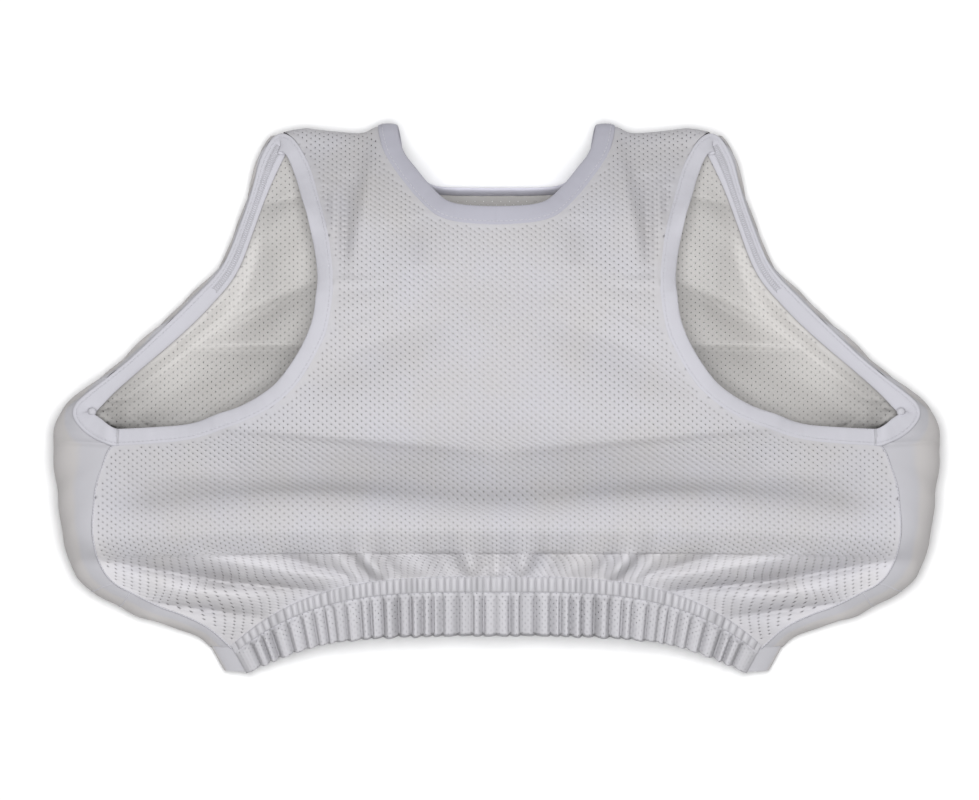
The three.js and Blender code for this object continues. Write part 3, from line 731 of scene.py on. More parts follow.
@dataclass
class ClothMesh:
    """Points, faces, cloth coordinates and painted light and shade of a piece that is being made."""

    points: Array
    faces: Array | list[list[int]]
    cloth: Array
    tone: Array | None = None

    def piece(self, name: str, finish: Finish, slot: Slot, nodes: tuple[str, ...] = ()) -> Piece:
        """Puts the points into a mesh object with a smooth surface, a UV map and a finish.

        Args:
            name: the name of the piece.
            finish: its finish.
            slot: a slot of the record; not used.
            nodes: the solids that it stands for.

        Returns:
            The object, which rides on the body.
        """
        mesh = bpy.data.meshes.new(name)
        faces = self.faces if isinstance(self.faces, list) else self.faces.tolist()
        mesh.from_pydata((self.points * MM).tolist(), [], faces)
        corners = np.empty(len(mesh.loops), dtype=np.int32)
        mesh.loops.foreach_get("vertex_index", corners)
        layer = mesh.uv_layers.new(name="cloth")
        layer.data.foreach_set("uv", (self.cloth[corners] * MM).astype(np.float32).ravel())
        # Painted light and shade of the piece, kept as an attribute of its points.
        if self.tone is not None:
            shades = mesh.attributes.new(PAINTED_SHADING_ATTRIBUTE, "FLOAT", "POINT")
            shades.data.foreach_set("value", self.tone.astype(np.float32))
        mesh.polygons.foreach_set("use_smooth", np.ones(len(mesh.polygons), dtype=bool))
        mesh.materials.append(finish.material())
        mesh.validate()
        mesh.update()
        made = bpy.data.objects.new(name, mesh)
        bpy.context.scene.collection.objects.link(made)
        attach(made, BODY)
        if nodes:
            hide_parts(*nodes)
        LOG.info("%s: %d points, %d faces", name, len(mesh.vertices), len(mesh.polygons))
        return made

    def on(self, side: Side) -> "ClothMesh":
        """Gives the piece for a side: on the right it is mirrored, with its faces turned."""
        faces = [list(face)[::-1] for face in self.faces]
        return self if side is Side.LEFT else replace(self, points=self.points * MIRROR, faces=faces)

    @staticmethod
    def joined(parts: list["ClothMesh"]) -> "ClothMesh":
        """Joins several meshes into one and renumbers their faces.

        Args:
            parts: the meshes.

        Returns:
            The joined mesh, with painted light and shade where each of them has one.
        """
        starts = np.cumsum([0] + [len(part.points) for part in parts])
        faces = [
            [int(corner) + int(start) for corner in face]
            for part, start in zip(parts, starts)
            for face in part.faces
        ]
        points = np.concatenate([part.points for part in parts])
        cloth = np.concatenate([part.cloth for part in parts])
        shadings_painted = [part.tone for part in parts if part.tone is not None]
        tone = np.concatenate(shadings_painted) if len(shadings_painted) == len(parts) else None
        return ClothMesh(points, faces, cloth, tone)


def area_of(points: Array, quads: Array) -> Array:
    """Gives the area of each quad, as half the cross product of its diagonals."""
    diagonals = points[quads[:, 2:]] - points[quads[:, :2]]
    return 0.5 * np.linalg.norm(np.cross(diagonals[:, 0], diagonals[:, 1]), axis=1)


@dataclass(frozen=True)
class HoleLattice:
    """Perforated mesh cloth: rows of cells with a hole in each, every other row half a cell over.

    A cell is a ring of points on its lower and upper side and a smaller ring round its hole. Cells on
    the outline have no hole, and their outer points move to the nearest point of the outline.
    """

    pitch: float = 4.9
    rise: float = 1.87
    hole_width: float = 0.62
    hole_height: float = 1.0
    splits: int = 2
    margin: float = 1.8
    least_area: float = 0.001

    def cut(self, outline: Array) -> tuple[Array, Array, Array]:
        """Cuts the cloth to an outline.

        Args:
            outline: corners of the closed outline on the flat cloth.

        Returns:
            The points on the flat cloth, the quads between them and True for each point on a hole.
        """
        step = self.pitch / self.splits
        low = np.floor(outline.min(axis=0) / (self.pitch, self.rise)).astype(int) - 1
        high = np.ceil(outline.max(axis=0) / (self.pitch, self.rise)).astype(int) + 1
        column, row = np.meshgrid(np.arange(low[0], high[0] + 1), np.arange(low[1], high[1] + 1))
        row = row.ravel()
        left = column.ravel() * self.splits + (row % 2) * (self.splits // 2)
        run = np.arange(self.splits + 1)
        across = left[:, None] + np.concatenate([run, run[::-1]])
        line = row[:, None] + np.repeat((0, 1), len(run))
        first = across.min()
        width = across.max() - first + 1
        ring = (line - line.min()) * width + across - first
        grid_line, grid_across = np.divmod(np.arange(ring.max() + 1), width)
        grid = np.stack(((grid_across + first) * step, (grid_line + line.min()) * self.rise), axis=-1)
        within = inside_outline(grid, outline)
        kept = within[ring].any(axis=1)
        ring = ring[kept]
        middle = np.stack((left[kept] * step + self.pitch / 2, (row[kept] + 0.5) * self.rise), axis=-1)
        clear = np.linalg.norm(middle - nearest_on_outline(middle, outline), axis=1) > self.margin
        holed = within[ring].all(axis=1) & clear
        outside = np.unique(ring[~within[ring]])
        grid[outside] = nearest_on_outline(grid[outside], outline)
        count = ring.shape[1]
        turn = TURN * (np.arange(count) - self.splits / 2) / count - math.pi / 2
        rim = np.stack((np.cos(turn) * self.hole_width / 2, np.sin(turn) * self.hole_height / 2), axis=-1)
        holes = (middle[holed][:, None, :] + rim).reshape(-1, 2)
        rims = len(grid) + np.arange(len(holes)).reshape(-1, count)
        outer = ring[holed]
        walls = np.stack((outer, np.roll(outer, -1, 1), np.roll(rims, -1, 1), rims), axis=-1)
        plain = ring[~holed]
        k = np.arange(self.splits)
        fills = plain[:, np.stack((k, k + 1, count - 2 - k, count - 1 - k), axis=-1)]
        points = np.concatenate([grid, holes])
        quads = np.concatenate([walls.reshape(-1, 4), fills.reshape(-1, 4)])
        flat = np.column_stack((points, np.zeros(len(points))))
        quads = quads[area_of(flat, quads) > self.least_area]
        used, quads = np.unique(quads, return_inverse=True)
        return points[used], quads.reshape(-1, 4), used >= len(grid)


@dataclass(frozen=True)
class FrontForm:
    """The form of the front: sections from the waistband over the shoulder, with folds and puckers."""

    frown: float = 3.5
    edge_spread: float = 3.5
    neck_close: float = 4.0
    cloth_column: float = 80.0
    rows: int = 3200
    halvings: int = 24
    tip_start: float = 104.0
    tip_round: float = 0.0085
    flare: float = 4.6
    flare_width: float = 6.0
    nudge: float = 0.05
    pucker_lengths: Floats = (15.0, 20.0, 29.0, 47.0)
    pucker_heights: Floats = (1.2, 2.0, 1.8, 1.0)
    pucker_from: float = 76.0
    pucker_fade: float = 44.0
    pucker_least: float = 0.05
    pucker_fan: float = 0.5
    crease_sway: float = 2.4
    crease_sway_length: float = 225.0
    crease_rows: Pair = (5.5, 0.9)
    drape_lengths: Floats = (52.0, 71.0, 97.0, 134.0)
    drape_heights: Floats = (0.3, 0.4, 0.5, 0.6)
    drape_leans: Floats = (0.5, -0.35)

    def point(self, x: Array, row: Array) -> Array:
        """Places a point of the front.

        In a section, y and z leave their middle values as powers of the share of the half width. The
        long folds, the puckers above the waistband and a slow unevenness are added to z, the same on
        both sides. Past the start of the shoulder tip, y falls with the square of the distance. Beside the
        neck a bell of cloth flares up over the shoulder.

        Args:
            x: distance from the middle line.
            row: the section, which may be between two rows.

        Returns:
            The points, with x, y and z last.
        """
        x, row = np.broadcast_arrays(np.asarray(x, dtype=float), np.asarray(row, dtype=float))
        out = np.abs(x)
        share = np.minimum(out / FRONT_SECTIONS("half", row), 1.0)
        mid_y = FRONT_SECTIONS("mid_y", row)
        mid_z = FRONT_SECTIONS("mid_z", row)
        y = mid_y + (FRONT_SECTIONS("side_y", row) - mid_y) * share**self.frown
        z = mid_z + (FRONT_SECTIONS("side_z", row) - mid_z) * share ** FRONT_SECTIONS("crown", row)
        y = y + self.sway(out) * bell(row - self.crease_rows[0], self.crease_rows[1], FLAT_TOP)
        drape = sum(
            waves(y + lean * out, self.drape_lengths, self.drape_heights, Seed.DRAPE + k)
            for k, lean in enumerate(self.drape_leans)
        )
        fade = np.clip(FOLD_ROW - row, 0.0, 1.0)
        folded = fold_relief(FRONT_FOLDS, x, y) + step_relief(FRONT_STEPS, x, y)
        z = z + fade * (folded + drape) + self.pucker(out, row)
        tip = np.clip(out - self.tip_start, 0.0, None) ** 2 * np.clip(row - FOLD_ROW + 1, 0.0, 1.0)
        flare = self.flare * bell(out - self.inner(row), self.flare_width) * bell(row - FOLD_ROW, 1.0)
        return np.stack((x, y - self.tip_round * tip + flare, z), axis=-1)

    def pucker(self, out: Array, row: Array) -> Array:
        """Gives the height of the puckers above the waistband: waves that fan out and fade to the sides.

        Args:
            out: distance from the middle line.
            row: the section.

        Returns:
            The heights.
        """
        cut = out / FRONT_SECTIONS("gather", row) ** self.pucker_fan
        calm = np.clip((out - self.pucker_from) / self.pucker_fade, 0.0, 1.0 - self.pucker_least)
        ripple = FRONT_SECTIONS("ripple", row) * (1 - calm)
        return waves(cut, self.pucker_lengths, self.pucker_heights, Seed.PUCKERS) * ripple

    def sway(self, out: Array) -> Array:
        """Gives how far the cross crease strays along the front: a slow wave that dips in the middle."""
        return -self.crease_sway * np.cos(TURN * out / self.crease_sway_length)

    def normal(self, x: Array, row: Array) -> Array:
        """Gives the outward normal, from points a little to each side.

        Args:
            x: distance from the middle line.
            row: the section.

        Returns:
            The normals.
        """
        across = self.point(x + self.nudge, row) - self.point(x - self.nudge, row)
        above = np.minimum(row + self.nudge, LAST_ROW)
        below = np.maximum(row - self.nudge, 0.0)
        return unit(np.cross(across, self.point(x, above) - self.point(x, below)))

    def past_fold(self, row: Array) -> Array:
        """Gives the share of the way from the fold of the shoulder to its seam, nought before the fold."""
        return ramp(row, FOLD_ROW, LAST_ROW - FOLD_ROW)

    def outer(self, row: Array) -> Array:
        """Gives the distance of the outer edge from the middle line."""
        edge = FRONT_EDGE("x", FRONT_SECTIONS("side_y", np.minimum(row, FOLD_ROW)))
        return edge + self.edge_spread * self.past_fold(row)

    def inner(self, row: Array) -> Array:
        """Gives the distance of the neck edge from the middle line, nought below the neck."""
        edge = FRONT_NECK("x", FRONT_SECTIONS("mid_y", np.minimum(row, FOLD_ROW)))
        return edge - self.neck_close * self.past_fold(row)

    def row_at(self, y: float) -> float:
        """Finds the section above the crease whose middle line is at height y."""
        rows = np.linspace(CREASE_ROW, FOLD_ROW, self.rows)
        return float(np.interp(y, FRONT_SECTIONS("mid_y", rows), rows))


@dataclass
class FrontCloth:
    """The flat cloth of the front: across, its cut width, and along, its length from the underarm.

    Above the underarm, the length is measured along one column. Below it, the length passes from that
    of the column to that of the side seam, without its run across, by a power of the share of the half
    width.
    """

    form: FrontForm

    def __post_init__(self) -> None:
        """Measures the lengths along the column and along the side seam."""
        form = self.form
        self.rows = np.linspace(0.0, LAST_ROW, form.rows)
        middle = lengths_along(form.point(np.full(form.rows, form.cloth_column), self.rows))
        seam = lengths_along(form.point(form.outer(self.rows), self.rows)[:, 1:])
        corner = form.row_at(UNDERARM_Y)
        self.middle = middle - np.interp(corner, self.rows, middle)
        seam = seam - np.interp(corner, self.rows, seam)
        self.extra = np.where(self.rows < corner, seam - self.middle, 0.0)

    def along(self, cut: Array, row: Array) -> Array:
        """Gives the length of cloth from the underarm to a section.

        Args:
            cut: distance from the middle line on the flat cloth.
            row: the section.

        Returns:
            The lengths, below nought under the underarm.
        """
        reach = np.abs(cut) * FRONT_SECTIONS("gather", row) / FRONT_SECTIONS("half", row)
        share = np.minimum(reach, 1.0) ** self.form.frown
        return np.interp(row, self.rows, self.middle) + share * np.interp(row, self.rows, self.extra)

    def row_of(self, cloth: Array) -> Array:
        """Finds the section of each point of the flat cloth, by halving the range it can be in.

        Args:
            cloth: points of the flat cloth.

        Returns:
            The sections.
        """
        low = np.zeros(len(cloth))
        high = np.full(len(cloth), float(LAST_ROW))
        for _ in range(self.form.halvings):
            half = 0.5 * (low + high)
            above = self.along(cloth[:, 0], half) > cloth[:, 1]
            high = np.where(above, half, high)
            low = np.where(above, low, half)
        return 0.5 * (low + high)


@dataclass
class FrontPanel:
    """The perforated mesh of the front, in one piece with the two straps."""

    form: FrontForm
    lattice: HoleLattice = HoleLattice()
    dimple: float = 0.28
    hem_points: int = 90
    edge_points: int = 180
    neck_points: int = 60
    corner_run: float = 0.6
    neck_run: float = 0.8
    crowding: int = 3
    # The fields down to the flat size place the painted light and shade of the mesh colour.
    bust_middle: float = -30.0
    bust_rise: float = 0.081
    bust_soft: float = 2.4
    bust_painted_shade: float = 0.06
    crease_y: float = -53.4
    crease_frown: float = 3.5
    crease_painted_shade: float = 0.2
    crease_runs: Pair = (7.0, 8.0)
    lip_y: float = -88.0
    lip_run: float = 9.0
    lip_painted_light: float = 0.1
    strap_from: float = 98.0
    strap_run: float = 26.0
    strap_painted_shade: float = 0.1
    side_from: float = 150.0
    side_run: float = 60.0
    side_painted_light: float = 0.06
    fade_from: float = 196.0
    fade_run: float = 26.0
    cavity_depth: float = 10.0
    cavity_painted_shade: float = 0.28
    gather_painted_light: float = 0.15
    pucker_depth: float = 3.0
    pucker_painted_shade: float = 0.2
    flat: Pair = (0.47, 0.41)
    flat_area: float = 0.105

    def outline(self, cloth: FrontCloth) -> Array:
        """Lays the edge of the front out flat: half the lower edge, the side, the strap and the neck.

        Args:
            cloth: the flat cloth.

        Returns:
            The corners of the outline.
        """
        corner = self.form.row_at(UNDERARM_Y)
        base = self.form.row_at(FRONT_NECK.keys[0])
        near = np.linspace(0.0, 1.0, self.neck_points) ** self.crowding
        even = np.linspace(0.0, LAST_ROW, self.edge_points)
        side = np.unique(np.concatenate([even, corner + self.corner_run * near]))
        even = np.linspace(base, LAST_ROW, self.neck_points)
        neck = np.unique(np.concatenate([even, base + self.neck_run * near]))[::-1]
        sections = np.concatenate([np.zeros(self.hem_points), side, neck])
        hem = self.form.outer(np.zeros(1)) * np.linspace(0.0, 1.0, self.hem_points, endpoint=False)
        reach = np.concatenate([hem, self.form.outer(side), self.form.inner(neck)])
        cut = reach / FRONT_SECTIONS("gather", sections)
        half = np.stack((cut, cloth.along(cut, sections)), axis=-1)
        return mirrored(half)

    def tone(self, x: Array, y: Array, row: Array) -> Array:
        """Paints light and shade into the mesh: painted shade where no padding shines through, and in
        folds.

        Below the bust edge, painted shade darkens it down to the cross crease. A bell of painted shade lies
        in the crease, with its own width above and below, a bell of painted light lies on the lip of the
        roll, and both fade out to the sides. The straps get painted shade, and the grooves too by their
        depth. The sides and the puckers above the waistband get painted light, and there is painted shade
        between the puckers.

        Args:
            x: distance from the middle line.
            y: distance along the front.
            row: the section.

        Returns:
            The share of full brightness.
        """
        out = np.abs(x)
        reach = (out / FRONT_SECTIONS.columns["half"].max()) ** self.form.frown
        crease = self.crease_y - self.crease_frown * reach + self.form.sway(out)
        bust = self.bust_middle + self.bust_rise * out
        strip = np.tanh((bust - y) / self.bust_soft) + np.tanh((y - crease) / self.crease_runs[1])
        run = np.where(y > crease, *self.crease_runs)
        middle = 1 - ramp(out, self.fade_from, self.fade_run)
        # Painted shade in the cross crease and painted light on the lip of the roll.
        groove = self.crease_painted_shade * bell(y - crease, run)
        lip = self.lip_painted_light * bell(y - self.lip_y, self.lip_run) * (y > self.lip_y)
        strap = self.strap_painted_shade * ramp(y, self.strap_from, self.strap_run)
        side = self.side_painted_light * ramp(out, self.side_from, self.side_run)
        relief = fold_relief(FRONT_FOLDS, x, y) + step_relief(FRONT_STEPS, x, y)
        # Painted shade in the grooves by their depth and between the puckers, painted light on the puckers.
        cavity = self.cavity_painted_shade * ramp(-relief, 0.0, self.cavity_depth)
        between = self.pucker_painted_shade * ramp(-self.form.pucker(out, row), 0.0, self.pucker_depth)
        gathered = self.gather_painted_light * FRONT_SECTIONS("ripple", row) - between
        # Painted shade below the bust and on the straps, where no padding lies behind the mesh, and painted
        # light at the sides.
        painted_backing_shade = 1 - 0.5 * self.bust_painted_shade * strip + side - strap
        return painted_backing_shade + middle * (lip - groove) + gathered - cavity

    def build(self) -> None:
        """Cuts the lattice to the outline and lays it on the form, with a dimple at each hole."""
        cloth = FrontCloth(self.form)
        flat, quads, sunk = self.lattice.cut(self.outline(cloth))
        section = cloth.row_of(flat)
        points = self.form.point(flat[:, 0] * FRONT_SECTIONS("gather", section), section)
        points[:, 2] -= self.dimple * sunk
        mesh = ClothMesh(points, quads, flat, self.tone(*points.T[:2], section))
        made = mesh.piece("front_mesh_cloth", FRONT_MESH, Slot.MESH, ("front_panel",))


@dataclass
class BackPanel:
    """The perforated mesh of the back, flat on the floor with a bowed hem."""

    form: FrontForm
    lattice: HoleLattice = HoleLattice(hole_width=0.5, hole_height=0.85)
    hem: float = -140.0
    bow: float = 35.0
    corner: float = 152.0
    inset: float = 0.6
    lift: float = 0.9
    seam_y: float = 133.6
    tip_y: float = 141.0
    tip_x: float = 112.0
    tuck: float = 2.5
    rim_drop: float = 2.4
    rim_run: float = 0.6
    least_run: float = 11.0
    rim_fall: float = 1.4
    rim_points: int = 240
    rim_slope: float = 0.6
    strap_gap: float = 8.0
    underarm_gap: float = 20.0
    pocket: float = 7.0
    pocket_at: Pair = (228.0, -8.0)
    pocket_reach: float = 34.0
    gap_from: float = 30.0
    gap_run: float = 50.0
    front_most: float = 42.0
    front_run: float = 38.0
    front_end: float = 134.0
    blend: float = 4.0
    soften: float = 8.0
    fade: float = 30.0
    armhole_x: float = 95.0
    fold_length: float = 31.0
    fold_height: float = 0.9
    fold_lean: float = 0.45
    hem_points: int = 60
    side_points: int = 150
    neck_ease: float = 0.4
    # The fields down to the flat size place the painted shade of the mesh colour.
    neck_half: float = 60.0
    neck_from: float = 96.0
    neck_run: float = 14.0
    neck_inside_painted_shade: float = 0.16
    corner_at: Pair = (212.0, 0.0)
    corner_run: float = 24.0
    corner_painted_shade: float = 0.3
    fold_painted_shadow: float = 0.24
    fold_run: float = 12.0
    fold_edge: float = 0.8
    rim_at: float = 12.5
    rim_reach: float = 5.5
    rim_painted_shade: float = 0.24
    rim_from: float = 40.0
    rim_fade: float = 35.0
    flat: Pair = (0.48, 0.285)
    flat_area: float = 0.092

    def hem_at(self, x: Array) -> Array:
        """Gives the hem line, which bows up in the middle by a power of the share of its half width."""
        return self.hem + self.bow * (1 - np.minimum(np.abs(x) / self.corner, 1.0) ** self.form.frown)

    def outline(self) -> Array:
        """Gives the edge of the back as it lies: half the hem, the side, the shoulder and the neck.

        Returns:
            The corners of the outline.
        """
        lower = SIDE_STATIONS.columns
        upper = ARMHOLE_STATIONS.columns
        edge_y = np.concatenate([lower["back_y"], upper["back_y"][1:]])
        edge_x = np.concatenate([lower["back_x"], upper["back_x"][1:]])
        edge = SmoothTable("y x", tuple(zip(edge_y, edge_x)), key="y")
        hem_x = np.linspace(0.0, self.corner, self.hem_points, endpoint=False)
        side_y = np.linspace(self.hem, self.tip_y, self.side_points)
        side_x = edge("x", side_y) + np.where(side_y > UNDERARM_Y, self.tuck, -self.inset)
        fall = np.linspace(0.0, 1.0, self.hem_points) ** self.neck_ease
        neck_y = self.seam_y - (self.seam_y - BACK_NECK.keys[0]) * fall
        half = np.concatenate(
            [
                np.stack((hem_x, self.hem_at(hem_x)), -1),
                np.stack((side_x, side_y), -1),
                np.array(((self.tip_x, self.tip_y), (self.tip_x, self.seam_y))),
                np.stack((BACK_NECK("x", neck_y), neck_y), -1),
            ]
        )
        return mirrored(half)

    def front_rim(self) -> tuple[Array, Array]:
        """Follows the front edge of the armhole, with a gap below it that grows to the underarm.

        Returns:
            The edge in the plane, and how high the back is drawn up to it.
        """
        ends = self.form.row_at(UNDERARM_Y), self.form.row_at(self.front_end)
        rows = np.linspace(*ends, self.rim_points)
        edge = self.form.point(self.form.outer(rows), rows)
        below = ramp(edge[:, 1], self.gap_from, -self.gap_run)
        gap = self.strap_gap + (self.underarm_gap - self.strap_gap) * below
        rise = edge[:, 2] - gap - self.pocket_depth(edge)
        return edge[:, :2], np.clip(rise, 0.0, self.front_most)

    def pocket_depth(self, places: Array) -> Array:
        """Gives how much lower the cloth is in the pocket at the end of the underarm: a bell round it."""
        away = np.linalg.norm(places[:, :2] - np.array(self.pocket_at), axis=1)
        return self.pocket * bell(away, self.pocket_reach)

    def drawn_up(self, x: Array, y: Array) -> tuple[Array, Array]:
        """Works out how the bindings of the armhole draw the cloth up.

        Each point of an edge lifts the cloth by its own height times a bell of the distance from it, and
        the highest of these counts. The front and the back edge add up by a high power, no higher beside
        the back edge than a slope from it. Outside the armhole the cloth falls straight from that edge.

        Args:
            x: distance from the middle line.
            y: distance along the back.

        Returns:
            The rise of each point, and the bell of its distance from the back edge.
        """
        station = np.linspace(1.0, len(ARMHOLE_STATIONS.keys) - 1, self.rim_points)
        free = ARMHOLE_STATIONS.line("free", station)
        way = np.gradient(free[:, :2], axis=0)
        rise = np.maximum(free[:, 2] - self.rim_drop - self.pocket_depth(free), 0.0)
        run = np.maximum(self.rim_run * rise, self.least_run)
        front, front_rise = self.front_rim()
        rises = []
        bells = []
        for block in blocks_of(np.stack((np.abs(x), y), axis=-1)):
            aside = block[:, None] - free[:, :2]
            gap = (aside**2).sum(axis=2)
            nearest = gap.argmin(axis=1)
            pick = np.arange(len(block)), nearest
            distance = np.sqrt(gap[pick])
            turn = way[nearest, 0] * aside[pick][:, 1] - way[nearest, 1] * aside[pick][:, 0]
            front_gap = ((block[:, None] - front) ** 2).sum(axis=2)
            near = np.exp(-gap / run**2)
            behind = (rise * near).max(axis=1)
            before = (front_rise * np.exp(-front_gap / self.front_run**2)).max(axis=1)
            both = (behind**self.blend + before**self.blend) ** (1 / self.blend)
            both = np.minimum(both, rise[nearest] + self.rim_slope * distance)
            rises.append(both - self.rim_fall * distance * (turn < 0))
            bells.append(near.max(axis=1))
        return np.maximum(np.concatenate(rises), 0.0), np.concatenate(bells)

    def height_at(self, x: Array, y: Array) -> Array:
        """Gives the height of the back: flat on the floor, and drawn up to the binding at the armhole.

        Away from the edge, the rise is the mean of that at nine places around, so that it has no ridge.
        Soft folds cross the cloth where it isn't drawn up.

        Args:
            x: distance from the middle line.
            y: distance along the back.

        Returns:
            The heights.
        """
        drawn, near = self.drawn_up(x, y)
        shifts = self.soften * np.array((-1.0, 0.0, 1.0))
        around = [self.drawn_up(x + over, y + up)[0] for over in shifts for up in shifts]
        drawn = near * drawn + (1 - near) * np.mean(around, axis=0)
        above = ramp(y, UNDERARM_Y - 0.5 * self.fade, self.fade)
        within = ramp(np.abs(x), self.armhole_x, self.fade) * above
        turn = TURN * (y + self.fold_lean * np.abs(x)) / self.fold_length
        soft = self.fold_height * (1 + np.sin(turn)) + step_relief(BACK_STEPS, x, y)
        soft = np.maximum(soft * within * (1 - near), -drawn)
        return self.lift + drawn * eased(above) + soft

    def tone(self, x: Array, y: Array) -> Array:
        """Paints shade into the mesh: painted shade deep inside the neck and at the end of the underarm.

        Below each fold a painted shadow starts at once and fades slowly, and more painted shade lies beside
        the binding of the underarm.

        Args:
            x: distance from the middle line.
            y: distance along the back.

        Returns:
            The share of full brightness.
        """
        # Painted shade deep inside the neck and in the pocket at the end of the underarm.
        inside = ramp(y, self.neck_from, self.neck_run) * bell(x, self.neck_half, FLAT_TOP)
        away = np.hypot(np.abs(x) - self.corner_at[0], y - self.corner_at[1])
        corner = self.corner_painted_shade * bell(away, self.corner_run)
        # Painted shadow below each fold.
        above, full = line_places(BACK_STEPS, x, y)
        shut = 0.5 - 0.5 * np.tanh(above / self.fold_edge)
        below = shut * np.exp(np.minimum(above, 0.0) / self.fold_run)
        fold = self.fold_painted_shadow * (full * below).sum(axis=-1)
        # Painted shade beside the binding of the underarm.
        edge = self.front_rim()[0]
        blocks = blocks_of(np.stack((np.abs(x), y), axis=-1))
        gaps = [((block[:, None] - edge) ** 2).sum(axis=2).min(axis=1) for block in blocks]
        beside = bell(np.sqrt(np.concatenate(gaps)) - self.rim_at, self.rim_reach)
        rim = self.rim_painted_shade * beside * ramp(y, self.rim_from, -self.rim_fade)
        return 1 - self.neck_inside_painted_shade * inside - corner - fold - rim

    def build(self) -> None:
        """Cuts the lattice to the outline and lays it on the floor."""
        cloth, quads, _ = self.lattice.cut(self.outline())
        points = np.column_stack((cloth, self.height_at(*cloth.T)))
        mesh = ClothMesh(points, quads[:, ::-1], cloth, self.tone(*cloth.T))
        made = mesh.piece("back_mesh_cloth", BACK_MESH_WARM_LIT, Slot.MESH, ("back_panel",))


@dataclass
class Band:
    """A folded binding along a path: at each point its seam, the way across, the normal and the width."""

    seam: Array
    across: Array
    normal: Array
    width: Array
    closed: bool

    def settled(self, window: int) -> "Band":
        """Evens the directions out along the path and makes them square to it again.

        Args:
            window: how many points are averaged.

        Returns:
            The settled band.
        """
        seam = smoothed(self.seam, window, self.closed)
        way = tangents(seam, self.closed)
        across = square_to(way, smoothed(self.across, window, self.closed))
        normal = np.cross(across, way)
        facing = np.sign((normal * self.normal).sum(1, keepdims=True))
        return Band(seam, across, normal * facing, self.width, self.closed)

    def part(self, first: int, last: int) -> "Band":
        """Gives the band from one point to another."""
        keep = slice(first, last)
        return Band(self.seam[keep], self.across[keep], self.normal[keep], self.width[keep], False)

    def at(self, share: float, height: float) -> Array:
        """Places points on the band: a share of the width across it, and a height above its middle."""
        return self.seam + self.across * (share * self.width)[:, None] + self.normal * height

    def declare(self, made: Piece, width: float, rests_on: list[str], sewn: list[Piece]) -> None:
        """Args:
            made: the cloth; not used.
            width: how wide it is when folded; not used.
            rests_on: the solids that carry it; not used.
            sewn: the threads that are sewn on it; not used.
        """


@dataclass(frozen=True)
class BandSection:
    """The section of a folded binding: a flat loop with round edges and a groove for each stitch row."""

    thick: float = 2.6
    overlap: float = 0.05
    power: float = 2.5
    groove: float = 0.22
    groove_width: float = 0.06
    stitch_lines: Floats = (0.16,)
    top_points: int = 25
    under_points: int = 9
    pucker: float = 0.035
    pucker_lengths: Floats = (7.0, 11.0, 19.0)

    def loop(self) -> Array:
        """Gives the loop of the section, as shares of the width and heights in millimetres.

        Its upper and lower faces are a flat oval, and the upper one dips in a bell at each row of
        stitches. Points stand closer together towards the two edges.

        Returns:
            The points of the loop.
        """
        top = 0.5 - 0.5 * np.cos(np.linspace(0.0, math.pi, self.top_points))
        under = 0.5 + 0.5 * np.cos(np.linspace(0.0, math.pi, self.under_points))[1:-1]
        dips = bell(top[:, None] - np.array(self.stitch_lines), self.groove_width).sum(1)
        upper = self.oval(top)
        height = np.concatenate([upper - self.groove * dips * upper / upper.max(), -self.oval(under)])
        share = np.concatenate([top, under]) * (1 + self.overlap) - self.overlap
        return np.stack((share, height), axis=-1)

    def oval(self, share: Array) -> Array:
        """Gives half the thickness at a share of the width: a root of one less a power of the way out."""
        return 0.5 * self.thick * np.sqrt(1 - np.abs(2 * share - 1) ** self.power)

    def carried(self, band: Band) -> ClothMesh:
        """Carries the loop along a band.

        Args:
            band: the path of the binding.

        Returns:
            The mesh, closed at its ends where the path is open.
        """
        loop = self.loop()
        run = lengths_along(band.seam)
        heights = (self.pucker,) * len(self.pucker_lengths)
        swell = 1 + waves(run, self.pucker_lengths, heights, Seed.BINDINGS)
        points = (
            band.seam[:, None]
            + band.across[:, None] * (loop[:, 0] * band.width[:, None])[..., None]
            + band.normal[:, None] * (loop[:, 1] * swell[:, None])[..., None]
        )
        count, ring = points.shape[:2]
        quads = grid_quads(count, ring, wrap_rows=band.closed, wrap_columns=True)
        way = tangents(band.seam, band.closed)
        if (np.cross(band.across, way) * band.normal).sum() < 0:
            quads = quads[:, ::-1]
        faces = quads.tolist()
        if not band.closed:
            first = list(range(ring))
            last = [(count - 1) * ring + k for k in first]
            faces += [first[::-1], last] if quads[0, 0] == 0 else [first, last[::-1]]
        over = lengths_along(loop * (band.width.mean(), 1.0))
        return ClothMesh(points.reshape(-1, 3), faces, flat_grid(over, run))

    def stitched(self, band: Band, stitching: "Stitching") -> list[ClothMesh]:
        """Sews a row of stitches with a given thread along each groove of a band."""
        top = 0.5 * (self.thick - self.groove)
        return [stitching.row(band.at(share, top), band.normal) for share in self.stitch_lines]


